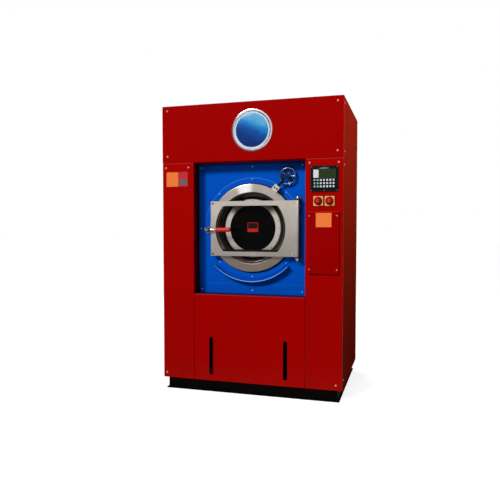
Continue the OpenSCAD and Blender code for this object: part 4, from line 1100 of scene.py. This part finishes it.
def casing_pieces():
    ease("top_fascia", RED, 0.8)
    ease("left_column_cover", COLUMN_RED, 0.8)
    ease("right_column_cover", COLUMN_RED, 0.8, join_flats=False)
    ease("lower_front_panel", LOWER_RED, 0.8)
    lid = Shape()
    lid.prism(rounded(access.x0, access.x1, access.z0, access.z1, 4), LID_FRONT, 0)
    lid.piece(
        "access_lid", LID_RED, "machine", replaces=["access_panel"], slot="red_paint", bevel=1.6, steps=3)
    for node in ("left_side_panel", "right_side_panel", "top_cover"):
        ease(node, SIDE_RED, 0.6)
    for node in ("rear_lower_panel", "rear_upper_panel"):
        ease(node, REAR_RED)
    ease("base_side_rails", BASE_BLACK, 1.0)
    for node in ("base_end_rails", "base_cross_rails"):
        ease(node, BASE_BLACK)
    for node in ("frame_posts", "frame_side_rails", "frame_cross_rails", "tub_supports", "motor_mount"):
        ease(node, FRAME_GREY)
    ease("drum_front_panel", BLUE, 0.5)
    ease("tub_flange", FLANGE_BLUE, 1.2)
    gutter_hem()
    ease("drip_gutter", BLUE, 0.8)
    ease("front_ring", RING_STEEL)
    ease("door_seal", RUBBER)
    ease("front_panel_screws", BLUE_SCREW_STEEL)
    shade_bead()


def gutter_hem():
    """The rolled hem along the drip gutter's front edge, a quarter of a turn about the drum's axis."""
    shape = Shape()
    steps, half_turn, radius = 48, 44.6, 4.7
    reach = gutter.w / 2 / math.sin(math.radians(45)) - 4.5
    turns = [math.radians(2 * half_turn * i / steps - half_turn) for i in range(steps + 1)]
    depth = gutter.d0 + 4.5
    line = [(AXIS_X + reach * math.sin(a), depth, AXIS_Z - reach * math.cos(a)) for a in turns]
    shape.tube(line, radius)
    shape.piece("gutter_hem", HEM_BLUE, "machine", slot="blue_paint")


def shade_bead():
    """A dark rubber bead between the front ring and the flange: painted shade for the ring's shadow on the
    flange.
    """
    shape = Shape()
    edge, back = ring.w / 2, ring.d1
    shape.lathe([
        (edge - 0.5, back - 6), (edge + 3, back - 5), (edge + 6, back - 2.5), (edge + 7, back),
        (edge - 0.5, back),
    ], AXIS_X, AXIS_Z, 128)
    shape.piece("ring_shade_bead", RUBBER, "machine", slot="rubber")


def inner_pieces():
    ease("outer_tub", TUB_STEEL)
    ease("drum_basket", perforated("basket_steel", srgb(162, 162, 160)))
    ease("drum_lifters", DRUM_STEEL)
    for node in ("drum_shaft", "drum_bearings"):
        ease(node, DARK_STEEL)
    for node in ("bearing_housing", "drum_pulley", "motor_pulley"):
        ease(node, CASTING)
    ease("motor", MOTOR_GREY)
    ease("drive_belts", RUBBER)
    ease("drain_pipe", GREY_PLASTIC)
    ease("water_inlets", BRASS)
    ease("cable_gland", BLACK_PLASTIC)


# ---------- stage ----------


def lamp(name, place, target, size, power):
    data = bpy.data.lights.new(name, "AREA")
    data.size = size
    data.energy = power
    aim(name, data, place, target)


def sun(name, place, target, strength, width):
    data = bpy.data.lights.new(name, "SUN")
    data.energy = strength
    data.angle = math.radians(width)
    aim(name, data, place, target)


def aim(name, data, place, target):
    made = bpy.data.objects.new(name, data)
    made.location = place
    made.rotation_euler = (Vector(target) - Vector(place)).to_track_quat("-Z", "Y").to_euler()
    made.visible_camera = False
    bpy.context.scene.collection.objects.link(made)


def stage_world():
    world = bpy.data.worlds.new("studio")
    bpy.context.scene.world = world
    world.use_nodes = True
    n = Nodes(world.node_tree)
    fill = 0.08
    level = fill + (1 - fill) * n.seen()
    sky = n.node("Background", inputs={"Color": (1, 1, 1, 1), "Strength": level})
    n.node("OutputWorld", inputs={"Surface": sky})


def stage_floor():
    """A pale matt floor that shows white to the camera, save in shade and under the machine."""
    f = Finish("studio_floor")
    x, y, _ = f.axes()
    low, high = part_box("base_side_rails")
    grey, glow_level, margin = 0.62, 0.7, 0.03
    middle, half = (low.y + high.y) / 2, (high.y - low.y) / 2
    beside = f.maths("GREATER_THAN", f.maths("ABSOLUTE", x), high.x - margin)
    before = f.maths("GREATER_THAN", f.maths("ABSOLUTE", y - middle), half - margin)
    glow = f.node("Emission", inputs={"Strength": glow_level})
    shown = f.node("MixShader", inputs={0: f.seen() * f.limit(beside + before), 2: glow})
    matt = f.node("BsdfDiffuse", inputs={"Color": (grey, grey, grey, 1)})
    both = f.node("AddShader", inputs={0: matt, 1: shown})
    f.node("OutputMaterial", inputs={"Surface": both})
    reach = 40.0
    corners = [(-reach, -reach, 0), (reach, -reach, 0), (reach, reach, 0), (-reach, reach, 0)]
    data = bpy.data.meshes.new("floor")
    data.from_pydata(corners, [], [(0, 1, 2, 3)])
    data.materials.append(f.material)
    floor = bpy.data.objects.new("floor", data)
    bpy.context.scene.collection.objects.link(floor)


def stage_camera():
    """The photo's camera, as fitted to the casing's corners and edges."""
    data = bpy.data.cameras.new("camera")
    data.lens = 39.16
    data.sensor_width = 36
    made = bpy.data.objects.new("camera", data)
    made.location = (0.993, -3.770, 1.091)
    made.rotation_euler = (math.radians(90 - 2.46), 0, math.radians(16.43))
    bpy.context.scene.collection.objects.link(made)
    bpy.context.scene.camera = made


def stage():
    stage_world()
    stage_floor()
    stage_camera()
    door_centre = (0, -0.43, 1.1)
    sun("key", (-1.95, -4.61, 3.70), door_centre, 2.15, 13)
    sun("front", (-0.47, -4.86, 4.33), door_centre, 0.45, 13)
    lamp("side", (2.5, -0.38, 3.0), (0.6, -0.1, 1.5), 1.2, 42)
    lamp("rear", (-1.4, 3.6, 2.8), (0, 0.4, 1.0), 2.0, 90)
    bpy.context.scene.view_settings.view_transform = "Standard"


casing_pieces()
inner_pieces()
door_pieces()
hinge_pieces()
latch_pieces()
handwheel_pieces()
control_pieces()
label_pieces()
badge_pieces()
casing_screws()
side_screws()
stage()
